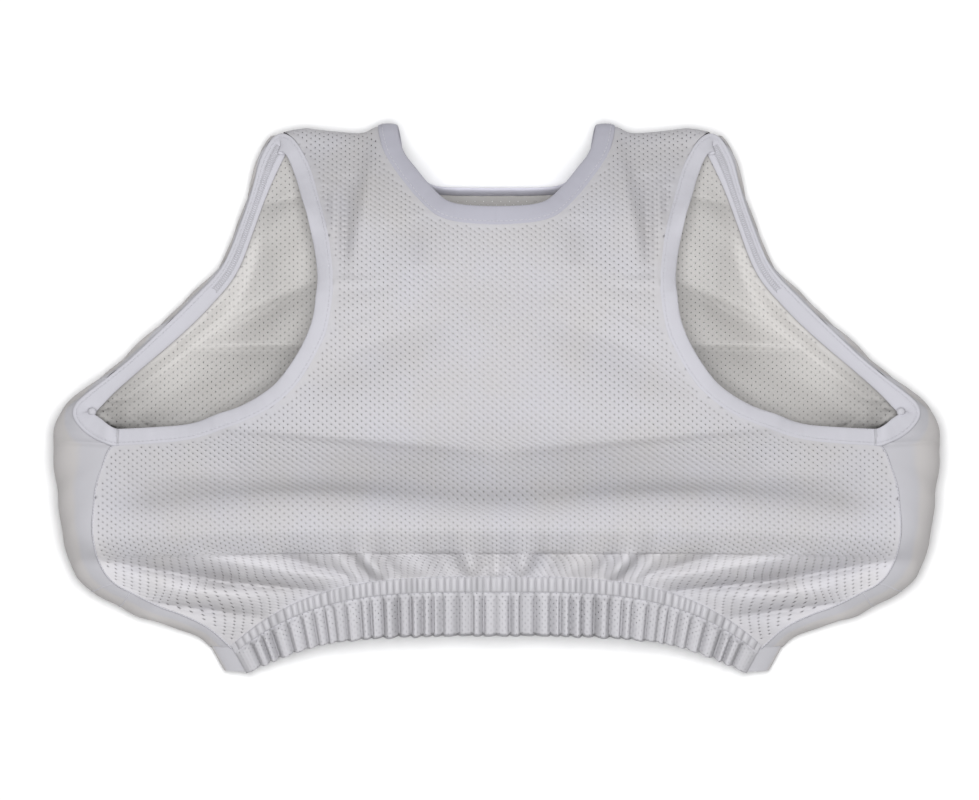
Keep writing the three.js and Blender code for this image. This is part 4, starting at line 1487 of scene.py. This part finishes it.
@dataclass(frozen=True)
class Stitching:
    """Sewing thread: rows of short stitches, and tubes of thread along a path."""

    length: float = 2.0
    gap: float = 0.75
    radius: float = 0.24
    sides: int = 6
    turn_points: int = 8
    lift: float = 1.42
    bulge: Floats = (0.35, 1.0, 1.0, 0.35)
    reach: Floats = (-0.5, -0.36, 0.36, 0.5)

    def row(self, path: Array, normal: Array) -> ClothMesh:
        """Sets stitches along a path: a short tube with drawn-in ends at every pitch.

        Args:
            path: points that the row follows.
            normal: the way up at each point.

        Returns:
            The stitches as one mesh.
        """
        path, normal = evenly(path, self.length + self.gap, normal)
        way = tangents(path)
        lift = square_to(way, normal)
        aside = np.cross(way, lift)
        turn = TURN * np.arange(self.sides) / self.sides
        bulge = np.array(self.bulge)[:, None] * self.radius
        reach = np.repeat(np.array(self.reach)[:, None] * self.length, self.sides, 1)
        template = np.stack((reach, np.cos(turn) * bulge, np.sin(turn) * bulge), axis=-1).reshape(-1, 3)
        axes = np.stack((way, aside, lift), axis=1)
        points = path[:, None] + np.einsum("mk,nkd->nmd", template, axes)
        quads = grid_quads(len(self.bulge), self.sides, wrap_columns=True)[:, ::-1]
        first = np.arange(self.sides)
        ends = np.stack((first, first[::-1] + len(template) - self.sides))
        starts = np.arange(len(path)) * len(template)
        faces = (starts[:, None, None] + quads).reshape(-1, 4).tolist()
        faces += (starts[:, None, None] + ends).reshape(-1, self.sides).tolist()
        cloth = np.tile(template[:, :2], (len(path), 1))
        return ClothMesh(points.reshape(-1, 3), faces, cloth)

    def overlock(self, band: Band, shares: Pair, pitch: float, shift: float) -> ClothMesh:
        """Runs a thread to and fro across a band: a sine between two shares of its width.

        Args:
            band: the band that is sewn over.
            shares: the shares of the width that the thread turns at.
            pitch: the length of a turn along the band.
            shift: the part of a turn by which it starts later.

        Returns:
            The thread as one mesh.
        """
        parts = evenly(band.seam, pitch / self.turn_points, band.across, band.normal, band.width[:, None])
        seam, across, normal, width = parts
        turn = TURN * (np.arange(len(seam)) / self.turn_points + shift)
        middle = 0.5 * (shares[0] + shares[1])
        share = middle + 0.5 * (shares[1] - shares[0]) * np.sin(turn)
        lifted = normal * self.lift
        return self.tube(seam + across * width * share[:, None] + lifted, normal, self.radius)

    def knot(self, middle: Array, size: Array) -> ClothMesh:
        """Ties a knot of thread: a ball that is stretched to a size along each axis.

        Args:
            middle: where it sits.
            size: half its size along x, y and z.

        Returns:
            The knot as one mesh.
        """
        around = TURN * np.arange(2 * self.sides) / (2 * self.sides)
        up = np.linspace(-math.pi / 2, math.pi / 2, self.sides + 1)[:, None]
        level = np.cos(up)
        ball = np.stack(
            np.broadcast_arrays(level * np.cos(around), level * np.sin(around), np.sin(up)), axis=-1
        )
        quads = grid_quads(*ball.shape[:2], wrap_columns=True)
        cloth = np.stack(np.broadcast_arrays(around * size[0], up * size[2]), -1)
        return ClothMesh((middle + ball * size).reshape(-1, 3), quads.tolist(), cloth.reshape(-1, 2))

    def tube(self, path: Array, normal: Array, radius: float) -> ClothMesh:
        """Runs a thread along a path: a round section carried along it.

        Args:
            path: points that the thread follows.
            normal: the way up at each point.
            radius: half the thickness of the thread.

        Returns:
            The mesh, closed at both ends.
        """
        way = tangents(path)
        lift = square_to(way, normal)
        aside = np.cross(way, lift)
        turn = (TURN * np.arange(self.sides) / self.sides)[None, :, None]
        points = path[:, None] + radius * (np.cos(turn) * aside[:, None] + np.sin(turn) * lift[:, None])
        count = len(path)
        faces = grid_quads(count, self.sides, wrap_columns=True)[:, ::-1].tolist()
        first = list(range(self.sides))
        faces += [first, [(count - 1) * self.sides + k for k in first][::-1]]
        around = TURN * radius * np.arange(self.sides) / self.sides
        return ClothMesh(points.reshape(-1, 3), faces, flat_grid(around, lengths_along(path)))


@dataclass
class SidePanel:
    """The smooth cloth of a side, folded round the edge of the vest from the front seam to the back."""

    form: FrontForm
    side: Side
    spacing: float = 2.4
    wrap: int = 14
    arm_rows: int = 110
    seam_points: int = 400
    tuck: float = 1.2
    tuck_drop: float = 0.7
    full_turn: float = 90.0
    arm_turn: float = 48.0
    end_run: Triple = (-8.0, 1.4, 0.0)
    thick: float = 0.9
    uneven: float = 0.3
    uneven_lengths: Floats = (23.0, 41.0)
    uneven_lean: float = 0.7
    beads: Stitching = Stitching(length=1.9, gap=0.0, radius=0.45)
    bead_lift: float = 0.1
    cross_seams: Floats = (-104.3, -109.4)
    cross_radius: float = 0.32
    flat: Pair = (0.075, 0.36)
    flat_area: float = 0.0125

    def fold(self, seam: Array, out: Array, back: Array, turn: Array) -> Array:
        """Folds each row round the side.

        A row is part of an ellipse from the seam out to the turn of the fold, and then a quarter of
        an ellipse from there to the seam by the floor.

        Args:
            seam: upper edge, one point for each row.
            out: the turn of the fold.
            back: the seam by the floor.
            turn: how many degrees of the ellipse the upper part spans.

        Returns:
            The grid of points: rows, columns and x, y, z.
        """
        end = np.radians(turn)[:, None]
        angle = end * np.linspace(1.0, 0.0, self.wrap + 1)
        inward = ((1 - np.cos(angle)) / (1 - np.cos(end)))[..., None]
        upward = (np.sin(angle) / np.sin(end))[..., None]
        weight = np.concatenate([inward, inward, upward], axis=-1)
        upper = out[:, None] + (seam - out)[:, None] * weight
        lower_angle = np.linspace(0.0, math.pi / 2, self.wrap + 1)[1:]
        outward = np.cos(lower_angle)[None, :, None]
        drop = np.sin(lower_angle)[None, :, None]
        weight = np.concatenate([outward, outward, 1 - drop], axis=-1)
        lower = back[:, None] + (out - back)[:, None] * weight
        return np.concatenate([upper, lower], axis=1)

    def seam_line(self) -> Array:
        """Gives the side seam, from the waistband to the underarm, evenly spaced."""
        sections = np.linspace(0.0, self.form.row_at(UNDERARM_Y), self.seam_points)
        return evenly(self.form.point(self.form.outer(sections), sections), self.spacing)[0]

    def floor_seam(self, table: SmoothTable, where: Array) -> Array:
        """Gives the seam by the floor, from the rows of a table."""
        return np.column_stack((table.line("back", where, "xy"), np.full(len(where), self.thick)))

    def rows(self) -> Array:
        """Works out the grid: rows along the side seam, up the armhole, and one tucked behind the strap.

        Returns:
            The grid of points on the outer face.
        """
        seam = self.seam_line()
        key = seam[:, 1]
        out = SIDE_STATIONS.line("out", key)
        flat_way = unit((out - seam) * (1 - UP))
        seam = seam - flat_way * self.tuck - UP * self.tuck_drop
        full = np.full(len(key), self.full_turn)
        lower = self.fold(seam, out, self.floor_seam(SIDE_STATIONS, key), full)
        station = np.linspace(0.0, len(ARMHOLE_STATIONS.keys) - 1, self.arm_rows)[1:]
        turn = self.full_turn + (self.arm_turn - self.full_turn) * np.clip(station, 0.0, 1.0)
        seam = ARMHOLE_STATIONS.line("seam", station)
        out = ARMHOLE_STATIONS.line("out", station)
        upper = self.fold(seam, out, self.floor_seam(ARMHOLE_STATIONS, station), turn)
        return np.concatenate([lower, upper, upper[-1:] + np.array(self.end_run)])

    def build(self) -> None:
        """Makes the sheet from the grid, with a fine unevenness."""
        grid = self.rows()
        count, columns = grid.shape[:2]
        cloth = flat_grid(np.arange(columns) * self.spacing, lengths_along(grid[:, self.wrap]))
        where = cloth[:, 1] + self.uneven_lean * cloth[:, 0]
        uneven = waves(where, self.uneven_lengths, (self.uneven, self.uneven), Seed.SIDES)
        grid = grid + uneven.reshape(count, columns, 1)
        mesh = ClothMesh(grid.reshape(-1, 3), grid_quads(count, columns).tolist(), cloth)
        name = f"side_cloth_{self.side.word}"
        made = mesh.on(self.side).piece(name, SMOOTH_KNIT, Slot.SMOOTH, (f"side_panel_{self.side.word}",))
        self.sew(grid)

    def sew(self, grid: Array) -> Piece:
        """Sews the beaded edge of the side seam, and two short seams across the strip below it.

        Args:
            grid: the grid of the cloth.

        Returns:
            The threads.
        """
        line = self.seam_line() + UP * self.bead_lift
        parts = [self.beads.row(line, np.tile(UP, (len(line), 1)))]
        for y in self.cross_seams:
            row = grid[np.abs(line[:, 1] - y).argmin(), : self.wrap]
            parts.append(self.beads.tube(row, np.tile(UP, (len(row), 1)), self.cross_radius))
        mesh = ClothMesh.joined(parts).on(self.side)
        return mesh.piece(f"side_stitches_{self.side.word}", THREAD, Slot.SMOOTH)


@dataclass
class NeckBand:
    """The binding round the neck: down the front, over the shoulders and standing up behind the neck."""

    form: FrontForm
    section: BandSection = BandSection()
    stitching: Stitching = Stitching()
    width: float = 10.6
    lift: float = 1.9
    stand: float = 72.0
    stand_share: float = 0.5
    stand_shift: float = 0.3
    dip: float = -12.0
    dip_reach: float = 40.0
    spacing: float = 1.3
    sink: float = 0.5
    floor_gap: float = 1.4
    back_height: float = 9.0
    back_half: float = 50.0
    # Painted light on the band where it stands up behind the neck.
    back_painted_light: float = 0.8
    front_points: int = 700
    front_crowding: float = 2.5
    back_points: int = 300
    back_crowding: int = 3
    window: int = 11

    def front_part(self) -> tuple[Array, Array, Array]:
        """Follows the neck edge of the front from the middle over the shoulder to its seam.

        The band leans by an angle that fades from the middle as a bell with a flat top.

        Returns:
            The seam of the band, the way across it and its normal.
        """
        base = self.form.row_at(FRONT_NECK.keys[0])
        row = base + (LAST_ROW - base) * np.linspace(0.0, 1.0, self.front_points) ** self.front_crowding
        x = self.form.inner(row)
        edge = self.form.point(x, row)
        normal = self.form.normal(x, row)
        across = -unit(np.cross(tangents(edge), normal))
        tip = np.radians(self.dip * bell(x, self.dip_reach, FLAT_TOP))[:, None]
        leaning = across * np.cos(tip) - normal * np.sin(tip)
        normal = normal * np.cos(tip) + across * np.sin(tip)
        rise = self.lift * bell(row - FOLD_ROW, 1.0) - self.sink
        path = edge + normal * rise[:, None]
        path[:, 2] = np.maximum(path[:, 2], self.floor_gap)
        return path, leaning, normal

    def back_part(self) -> tuple[Array, Array, Array]:
        """Follows the neck edge of the back from the shoulder seam to the middle, where the band stands up.

        Returns:
            The seam of the band, the way across it and its normal.
        """
        share = 1 - (1 - np.linspace(0.0, 1.0, self.back_points)[1:]) ** self.back_crowding
        y = BACK_NECK.keys[-1] - (BACK_NECK.keys[-1] - BACK_NECK.keys[0]) * share
        path = np.column_stack((BACK_NECK("x", y), y, np.zeros(len(y))))
        way = tangents(path)
        inward = np.column_stack((way[:, 1], -way[:, 0], np.zeros(len(y))))
        along = lengths_along(path)
        lean = np.radians(self.stand * eased(ramp(along, 0.0, self.stand_share * along[-1])))[:, None]
        across = inward * np.cos(lean) + UP * np.sin(lean)
        normal = inward * np.sin(lean) - UP * np.cos(lean)
        shift = inward * (self.stand_shift * self.section.thick * np.sin(lean))
        return path + shift + UP * self.floor_gap, across, normal

    def half_path(self) -> list[Array]:
        """Joins the front and the back into half the ring, evenly spaced.

        Returns:
            The seam, the way across and the normal, from the middle of the front to that of the back.
        """
        halves = zip(self.front_part(), self.back_part())
        path, across, normal = (np.concatenate(parts) for parts in halves)
        path[[0, -1], 0] = 0.0
        return evenly(path, self.spacing, across, normal)

    def ring(self) -> Band:
        """Mirrors the half into a closed ring."""
        parts = [np.concatenate([part, part[-2:0:-1] * MIRROR]) for part in self.half_path()]
        return Band(*parts, np.full(len(parts[0]), self.width), True).settled(self.window)

    def build(self) -> None:
        """Carries the section round the ring, with painted light behind the neck, and sews its row of
        stitches.
        """
        ring = self.ring()
        mesh = self.section.carried(ring)
        x, _, z = ring.seam.T
        # Painted light on the standing band behind the neck, which the lamp only grazes.
        behind = bell(x, self.back_half, FLAT_TOP) * bell(z, self.back_height)
        mesh.tone = np.repeat(1 + self.back_painted_light * behind, len(mesh.points) // len(behind))
        made = mesh.piece("neck_binding", NECK_SHADED_KNIT, Slot.BINDING, ("neck_band",))
        rows = self.section.stitched(ring, self.stitching)
        sewn = ClothMesh.joined(rows).piece("neck_stitches", THREAD, Slot.BINDING)
        ring.declare(made, self.width, ["front_panel", "back_panel"], [sewn])


@dataclass
class ArmholeBand:
    """The binding round an armhole: down its front edge, round the underarm and up its back edge."""

    form: FrontForm
    side: Side
    section: BandSection = BandSection()
    stitching: Stitching = Stitching()
    width: float = 9.4
    strap_y: float = 134.0
    sink: float = 0.5
    dip: float = 30.0
    dip_at: float = 165.0
    dip_reach: float = 40.0
    ride: float = 1.4
    spacing: float = 1.3
    overlock_end: float = 164.0
    overlock_shares: Pair = (0.3, 0.72)
    overlock_pitch: float = 2.4
    overlock_shifts: Floats = (0.0, 0.5)
    tab_at: Pair = (214.6, -25.4)
    tab_length: float = 3.2
    tab_shares: Pair = (0.0, 1.0)
    tab_pitch: float = 1.0
    knot_at: Triple = (229.0, -6.6, 38.6)
    knot_size: Triple = (2.5, 2.3, 1.9)
    back_points: int = 600
    front_points: int = 900
    crowding: int = 3
    seam_window: int = 5
    free_window: int = 9

    def path(self) -> Band:
        """Works out the ring: down the back edge, round the underarm, up the front and over the tip.

        Returns:
            The band, with its normals up.
        """
        station = np.linspace(len(ARMHOLE_STATIONS.keys) - 1, 0.0, self.back_points)
        back_seam = ARMHOLE_STATIONS.line("seam", station) + UP * self.ride
        back_free = ARMHOLE_STATIONS.line("free", station) + UP * self.ride
        corner = self.form.row_at(UNDERARM_Y)
        share = np.linspace(0.0, 1.0, self.front_points) ** self.crowding
        row = corner + (self.form.row_at(self.strap_y) - corner) * share
        x = self.form.outer(row)
        edge = self.form.point(x, row)
        normal = self.form.normal(x, row)
        across = unit(np.cross(tangents(edge), normal))
        tip = np.radians(self.dip * bell(x - self.dip_at, self.dip_reach))[:, None]
        across = across * np.cos(tip) - normal * np.sin(tip)
        edge = edge - normal * self.sink
        seam = np.concatenate([back_seam, edge, SHOULDER_TURN[:, :3], back_seam[:1]])
        free = np.concatenate([back_free, edge + across * self.width, SHOULDER_TURN[:, 3:], back_free[:1]])
        seam, free = (rows[:-1] for rows in evenly(seam, self.spacing, free))
        seam = smoothed(seam, self.seam_window, True)
        free = smoothed(free, self.free_window, True)
        width = np.linalg.norm(free - seam, axis=1)
        return Band(seam, free - seam, np.tile(UP, (len(seam), 1)), width, True).settled(self.seam_window)

    def build(self) -> None:
        """Carries the section along the path, and sews it."""
        band = self.path()
        word = self.side.word
        nodes = (f"armhole_band_front_{word}", f"armhole_band_back_{word}")
        mesh = self.section.carried(band).on(self.side)
        made = mesh.piece(f"armhole_binding_{word}", BINDING_KNIT, Slot.BINDING, nodes)
        band.declare(made, self.width, ["front_panel"], [self.sew(band), self.overlock(band)])

    def sew(self, band: Band) -> Piece:
        """Sews the row of stitches along the seam, and the knot at the end of the underarm.

        Args:
            band: the path of the binding.

        Returns:
            The threads.
        """
        parts = self.section.stitched(band, self.stitching)
        parts.append(self.stitching.knot(np.array(self.knot_at), np.array(self.knot_size)))
        mesh = ClothMesh.joined(parts).on(self.side)
        return mesh.piece(f"armhole_stitches_{self.side.word}", THREAD, Slot.BINDING)

    def overlock(self, band: Band) -> Piece:
        """Sews the overlock along the back edge, and the end of the side seam across the underarm.

        Args:
            band: the path of the binding.

        Returns:
            The threads.
        """
        last = int((band.seam[:, 0] > self.overlock_end).argmax())
        back = band.part(1, last)
        parts = [
            self.stitching.overlock(back, self.overlock_shares, self.overlock_pitch, shift)
            for shift in self.overlock_shifts
        ]
        near = int(np.linalg.norm(band.seam[:, :2] - np.array(self.tab_at), axis=1).argmin())
        reach = int(round(0.5 * self.tab_length / self.spacing))
        tab = band.part(near - reach, near + reach + 1)
        parts.append(self.stitching.overlock(tab, self.tab_shares, self.tab_pitch, 0.0))
        mesh = ClothMesh.joined(parts).on(self.side)
        return mesh.piece(f"armhole_overlock_{self.side.word}", OVERLOCK, Slot.BINDING)


@dataclass
class Waistband:
    """The elastic waistband, front and back: a header of fine puffs, stitches and a gathered casing."""

    form: FrontForm
    back: BackPanel
    hole_pitch: float = HoleLattice.pitch
    hole_rise: float = HoleLattice.rise
    hole_columns: int = 8
    hole_rows: int = 3
    stitching: Stitching = Stitching(length=1.5, gap=0.7, radius=0.2)
    height: float = 31.0
    taper: float = 14.3
    lean: float = 29.0
    lean_power: int = 3
    gap: float = -1.0
    header: float = 9.0
    header_step: float = 0.5
    header_rows: int = 15
    cut_width: float = 228.0
    header_pitch: float = 5.6
    casing_pitch: float = 10.8
    header_rise: float = 2.9
    casing_rise: float = 4.4
    header_crest: float = 0.45
    casing_crest: float = 0.9
    header_lean: float = 0.5
    casing_lean: float = 0.7
    puff_power: float = 0.3
    groove_base: float = 0.3
    drift_lengths: Floats = (31.0, 47.0, 83.0)
    drift_heights: Floats = (0.08, 0.12, 0.14)
    swell: float = 0.8
    swell_lengths: Floats = (19.0, 29.0, 61.0)
    swell_heights: Floats = (0.1, 0.1, 0.1)
    bunches: Floats = (84.0, 204.0)
    bunch_width: float = 18.0
    bunch_rise: float = 0.7
    # Painted shade in the grooves of the header and the casing, more where the pleats bunch.
    header_painted_shade: float = 0.6
    casing_painted_shade: float = 0.36
    bunch_painted_shade: float = 0.2
    start_run: float = 4.0
    scallop: float = 1.3
    top_lift: float = 0.6
    fall: float = 3.0
    hem_turn: float = 1.3
    hem_tuck: float = 8.0
    calm_power: float = 40.0
    behind_z: float = 3.4
    behind_shorten: float = 2.0
    behind_floor: float = 0.2

    @property
    def tall(self) -> float:
        """The height of the flat strip, with the turn of the hem."""
        return self.height + math.pi * self.hem_turn + self.hem_tuck

    def pleats(self, cut: Array, pitch: float, crest: float, lean: float, seed: int) -> Array:
        """Gives uneven pleats from 0 in a groove to 1 on a crest.

        They are a power of half a sine whose phase and height drift. A pleat that leans rises slowly
        to its crest and falls off quickly behind it.

        Args:
            cut: distance from the middle line on the flat strip.
            pitch: the cut width of a pleat.
            crest: the power, lower for rounder crests.
            lean: where the crest is, as a share of the pleat.
            seed: the seed of the drift.

        Returns:
            The heights.
        """
        drift = waves(cut, self.drift_lengths, self.drift_heights, seed)
        swell = self.swell + waves(cut, self.swell_lengths, self.swell_heights, seed + 1)
        along = (cut / pitch + drift) % 1.0
        turn = np.where(along < lean, along / lean, 1 + (along - lean) / (1 - lean))
        return np.abs(np.sin(0.5 * math.pi * turn)) ** crest * swell

    def puffs(self, out: Array) -> Array:
        """Gives the puffs of the header."""
        return self.pleats(out, self.header_pitch, self.header_crest, self.header_lean, Seed.PUFFS)

    def folds(self, out: Array) -> Array:
        """Gives the pleats of the casing."""
        return self.pleats(out, self.casing_pitch, self.casing_crest, self.casing_lean, Seed.PLEATS)

    def bunched(self, out: Array) -> Array:
        """Gives how much the pleats are bunched up: bells round a few places."""
        return bell(out[:, None] - np.array(self.bunches), self.bunch_width).sum(axis=1)

    def tone(self, cloth: Array) -> Array:
        """Paints shade into the strip: painted shade by the square of the depth of its grooves.

        Args:
            cloth: points of the flat strip.

        Returns:
            The share of full brightness.
        """
        out = np.abs(cloth[:, 0])
        # Painted shade in the grooves of the puffs and the pleats.
        header = self.header_painted_shade * np.clip(1 - self.puffs(out), 0.0, 1.0) ** 2
        deep = np.clip(1 - self.folds(out), 0.0, 1.0) ** 2
        casing = self.casing_painted_shade * deep * (1 + self.bunch_painted_shade * self.bunched(out))
        return 1 - np.where(cloth[:, 1] < self.header, header, casing)

    def relief(self, cut: Array, down: Array, share: Array) -> tuple[Array, Array]:
        """Works out the puffs of the header and the pleats of the casing, the same on both sides.

        Args:
            cut: distance from the middle line on the flat strip.
            down: distance from the top edge.
            share: distance from the middle line as a share of the half width.

        Returns:
            The height of the cloth, and how far the pleats push the hem out.
        """
        puff = np.sin(math.pi * ramp(down, 0.0, self.header)) ** self.puff_power
        body = eased(ramp(down, self.header, self.start_run))
        out = np.abs(cut)
        fine = self.puffs(out)
        wide = (self.folds(out) - self.groove_base) * (1 + self.bunch_rise * self.bunched(out))
        calm = 1 - share**self.calm_power
        rise = self.header_rise * puff * fine + self.casing_rise * body * wide
        return self.top_lift + calm * rise, calm * self.scallop * body * wide

    def place(self, cloth: Array, tops: Array, fall: float, shorten: float) -> Array:
        """Places the strip: down from its top edge, leaning in at the corners, with its relief.

        Below the hem the strip turns under in half a circle and runs back up inside.

        Args:
            cloth: points of the flat strip.
            tops: the point of the top edge for each of them.
            fall: how far the middle of the band comes down towards the hem.
            shorten: how much less tall this band is.

        Returns:
            The points.
        """
        cut, down = cloth.T
        sign = np.sign(tops[:, 0])
        share = np.minimum(np.abs(tops[:, 0]) / FRONT_EDGE.columns["x"][0], 1.0)
        lean = np.radians(self.lean) * share**self.lean_power
        full = self.height - self.taper * share**self.form.frown - shorten
        arc = math.pi * self.hem_turn
        level = np.minimum(down, self.height) / self.height
        turned = ramp(down, self.height, arc)
        tucked = np.clip(down - self.height - arc, 0.0, None)
        rise, push = self.relief(cut, down, share)
        reach = full * level + self.gap + self.hem_turn * np.sin(math.pi * turned) - tucked + push * level
        under = self.hem_turn * (1 - np.cos(math.pi * turned))
        x = tops[:, 0] - reach * np.sin(lean) * sign
        y = tops[:, 1] - reach * np.cos(lean)
        z = tops[:, 2] - fall * level * (1 - share) + rise - under
        return np.column_stack((x, y, z))

    def header_strip(self) -> tuple[Array, Array]:
        """Gives the flat header as a fine grid.

        Returns:
            The points of the flat strip, and the quads between them.
        """
        across = np.arange(-self.cut_width, self.cut_width, self.header_step)
        down = np.linspace(0.0, self.header, self.header_rows)
        return flat_grid(across, down), grid_quads(len(down), len(across))

    def casing_strip(self) -> tuple[Array, Array]:
        """Gives the flat casing as a fine grid, without the quads where its holes are.

        The holes stand in rows, and every other row is half a pitch over.

        Returns:
            The points of the flat strip, and the quads between them.
        """
        across = np.arange(-self.cut_width, self.cut_width, self.hole_pitch / self.hole_columns)
        down = np.arange(self.header, self.tall, self.hole_rise / self.hole_rows)
        row, column = np.divmod(np.arange((len(down) - 1) * (len(across) - 1)), len(across) - 1)
        over = (row // self.hole_rows) % 2 * (self.hole_columns // 2)
        holed = (row % self.hole_rows == 0) & ((column + over) % self.hole_columns == 0)
        return flat_grid(across, down), grid_quads(len(down), len(across))[~holed]

    def front_tops(self, cut: Array) -> Array:
        """Gives the top edge of the front of the band, along the lower edge of the front mesh."""
        row = np.zeros(len(cut))
        return self.form.point(cut * FRONT_SECTIONS("gather", row), row)

    def back_tops(self, cut: Array) -> Array:
        """Gives the top edge of the back of the band, along the hem of the back mesh."""
        x = cut * self.back.corner / self.cut_width
        return np.column_stack((x, self.back.hem_at(x), np.zeros(len(x))))

    def front(self) -> None:
        """Makes the front of the band and sews the two lines of stitches of its header."""
        parts = []
        for flat, quads in (self.header_strip(), self.casing_strip()):
            points = self.place(flat, self.front_tops(flat[:, 0]), self.fall, 0.0)
            parts.append(ClothMesh(points, quads[:, ::-1], flat, self.tone(flat)))
        cloth = ClothMesh.joined(parts)
        made = cloth.piece("waistband_front_cloth", CASING_MESH, Slot.CASING, ("waistband_front",))
        sewn = []
        across = np.arange(-self.cut_width, self.cut_width, self.header_step)
        for down in (0.0, self.header):
            line = np.column_stack((across, np.full(len(across), down)))
            line = self.place(line, self.front_tops(across), self.fall, 0.0)
            sewn.append(self.stitching.row(line, np.tile(UP, (len(line), 1))))
        thread = ClothMesh.joined(sewn).piece("waistband_stitches", THREAD, Slot.CASING)
        self.declare(made, [thread])

    def behind(self) -> None:
        """Makes the back of the band, turned over with its pleats to the floor."""
        parts = []
        for flat, quads in (self.header_strip(), self.casing_strip()):
            points = self.place(flat, self.back_tops(flat[:, 0]), 0.0, self.behind_shorten)
            points[:, 2] = np.maximum(self.behind_z - points[:, 2], self.behind_floor)
            parts.append(ClothMesh(points, quads, flat, self.tone(flat)))
        cloth = ClothMesh.joined(parts)
        made = cloth.piece("waistband_back_cloth", CASING_MESH, Slot.CASING, ("waistband_back",))
        self.declare(made, [])

    def declare(self, made: Piece, sewn: list[Piece]) -> None:
        """Takes a half of the band and does nothing with it.

        Args:
            made: the cloth; not used.
            sewn: the threads that are sewn on it; not used.
        """


@dataclass
class WaistCorner:
    """The smooth corner of the waistband: the fold of the side carried down to the hem."""

    panel: SidePanel
    band: Waistband
    rows: int = 10
    column: float = 1.2
    flat: Pair = (0.025, 0.017)

    def build(self) -> None:
        """Moves the lowest fold of the side along the end of the waistband."""
        fold = self.panel.rows()[:1]
        lean = math.radians(self.band.lean)
        tall = self.band.height - self.band.taper
        down = np.array((-math.sin(lean), -math.cos(lean), 0.0)) * tall
        share = np.linspace(1.0, 0.0, self.rows)[:, None, None]
        grid = fold + share * down - np.array((0.0, self.band.gap, 0.0))
        count, columns = grid.shape[:2]
        cloth = flat_grid(np.arange(columns) * self.column, lengths_along(grid[:, 0]))
        word = self.panel.side.word
        mesh = ClothMesh(grid.reshape(-1, 3), grid_quads(count, columns).tolist(), cloth)
        mesh = mesh.on(self.panel.side)
        made = mesh.piece(f"waist_corner_{word}", SMOOTH_KNIT, Slot.SMOOTH, (f"waistband_side_{word}",))


@dataclass(frozen=True)
class Studio:
    """A pale floor, soft light and a camera that looks straight down."""

    distance: float = 6.0
    frame_width: float = 0.558
    middle: Pair = (-0.004, 0.0)
    sensor: float = 36.0
    floor_half: float = 6.0
    floor_colour: Colour = (0.96, 0.96, 0.96)
    floor_roughness: float = 0.95
    sky_colour: Colour = (1.0, 0.98, 0.96)
    sky: float = 0.12
    key_power: float = 64.0
    key_colour: Colour = (0.985, 0.99, 1.0)
    key_place: Triple = (0.0, 0.06, 2.4)
    key_size: float = 1.2
    sight: float = 100.0

    def floor(self) -> None:
        """Lays a plain floor."""
        half = self.floor_half
        corners = [(-half, -half, 0.0), (half, -half, 0.0), (half, half, 0.0), (-half, half, 0.0)]
        mesh = bpy.data.meshes.new("floor")
        mesh.from_pydata(corners, [], [(0, 1, 2, 3)])
        paint = bpy.data.materials.new("floor_paint")
        paint.use_nodes = True
        shader = paint.node_tree.nodes["Principled BSDF"]
        shader.inputs["Base Color"].default_value = (*self.floor_colour, 1.0)
        shader.inputs["Roughness"].default_value = self.floor_roughness
        mesh.materials.append(paint)
        ground = bpy.data.objects.new("floor", mesh)
        bpy.context.scene.collection.objects.link(ground)

    def lamp(self) -> None:
        """Hangs a square lamp that points at the middle of the vest."""
        data = bpy.data.lights.new("key", "AREA")
        data.energy = self.key_power
        data.color = self.key_colour
        data.size = self.key_size
        lamp = bpy.data.objects.new("key", data)
        lamp.location = self.key_place
        x, y, z = self.key_place
        lamp.rotation_euler = (math.atan2(math.hypot(x, y), z), 0.0, math.atan2(x, -y))
        bpy.context.scene.collection.objects.link(lamp)

    def light(self) -> None:
        """Sets a pale sky and one large lamp overhead, a little to the neck side."""
        sky = bpy.data.worlds.new("studio")
        sky.use_nodes = True
        ground = sky.node_tree.nodes["Background"]
        ground.inputs["Color"].default_value = (*self.sky_colour, 1.0)
        ground.inputs["Strength"].default_value = self.sky
        bpy.context.scene.world = sky
        self.lamp()

    def camera(self) -> None:
        """Hangs the camera above the vest, with a lens that takes in the frame's width."""
        data = bpy.data.cameras.new("camera")
        data.sensor_width = self.sensor
        data.lens = self.sensor * self.distance / self.frame_width
        data.clip_end = self.sight
        made = bpy.data.objects.new("camera", data)
        made.location = (*self.middle, self.distance)
        bpy.context.scene.collection.objects.link(made)
        bpy.context.scene.camera = made

    def build(self) -> None:
        """Sets the stage."""
        self.floor()
        self.light()
        self.camera()
        bpy.context.scene.view_settings.view_transform = "Standard"


def main() -> None:
    """Builds the pieces in order."""
    logging.basicConfig(level=logging.INFO, format="%(message)s")
    Studio().build()
    form = FrontForm()
    FrontPanel(form).build()
    back = BackPanel(form)
    back.build()
    NeckBand(form).build()
    waist = Waistband(form, back)
    waist.front()
    waist.behind()
    for side in Side:
        panel = SidePanel(form, side)
        panel.build()
        WaistCorner(panel, waist).build()
        ArmholeBand(form, side).build()


if __name__ == "__main__":
    main()
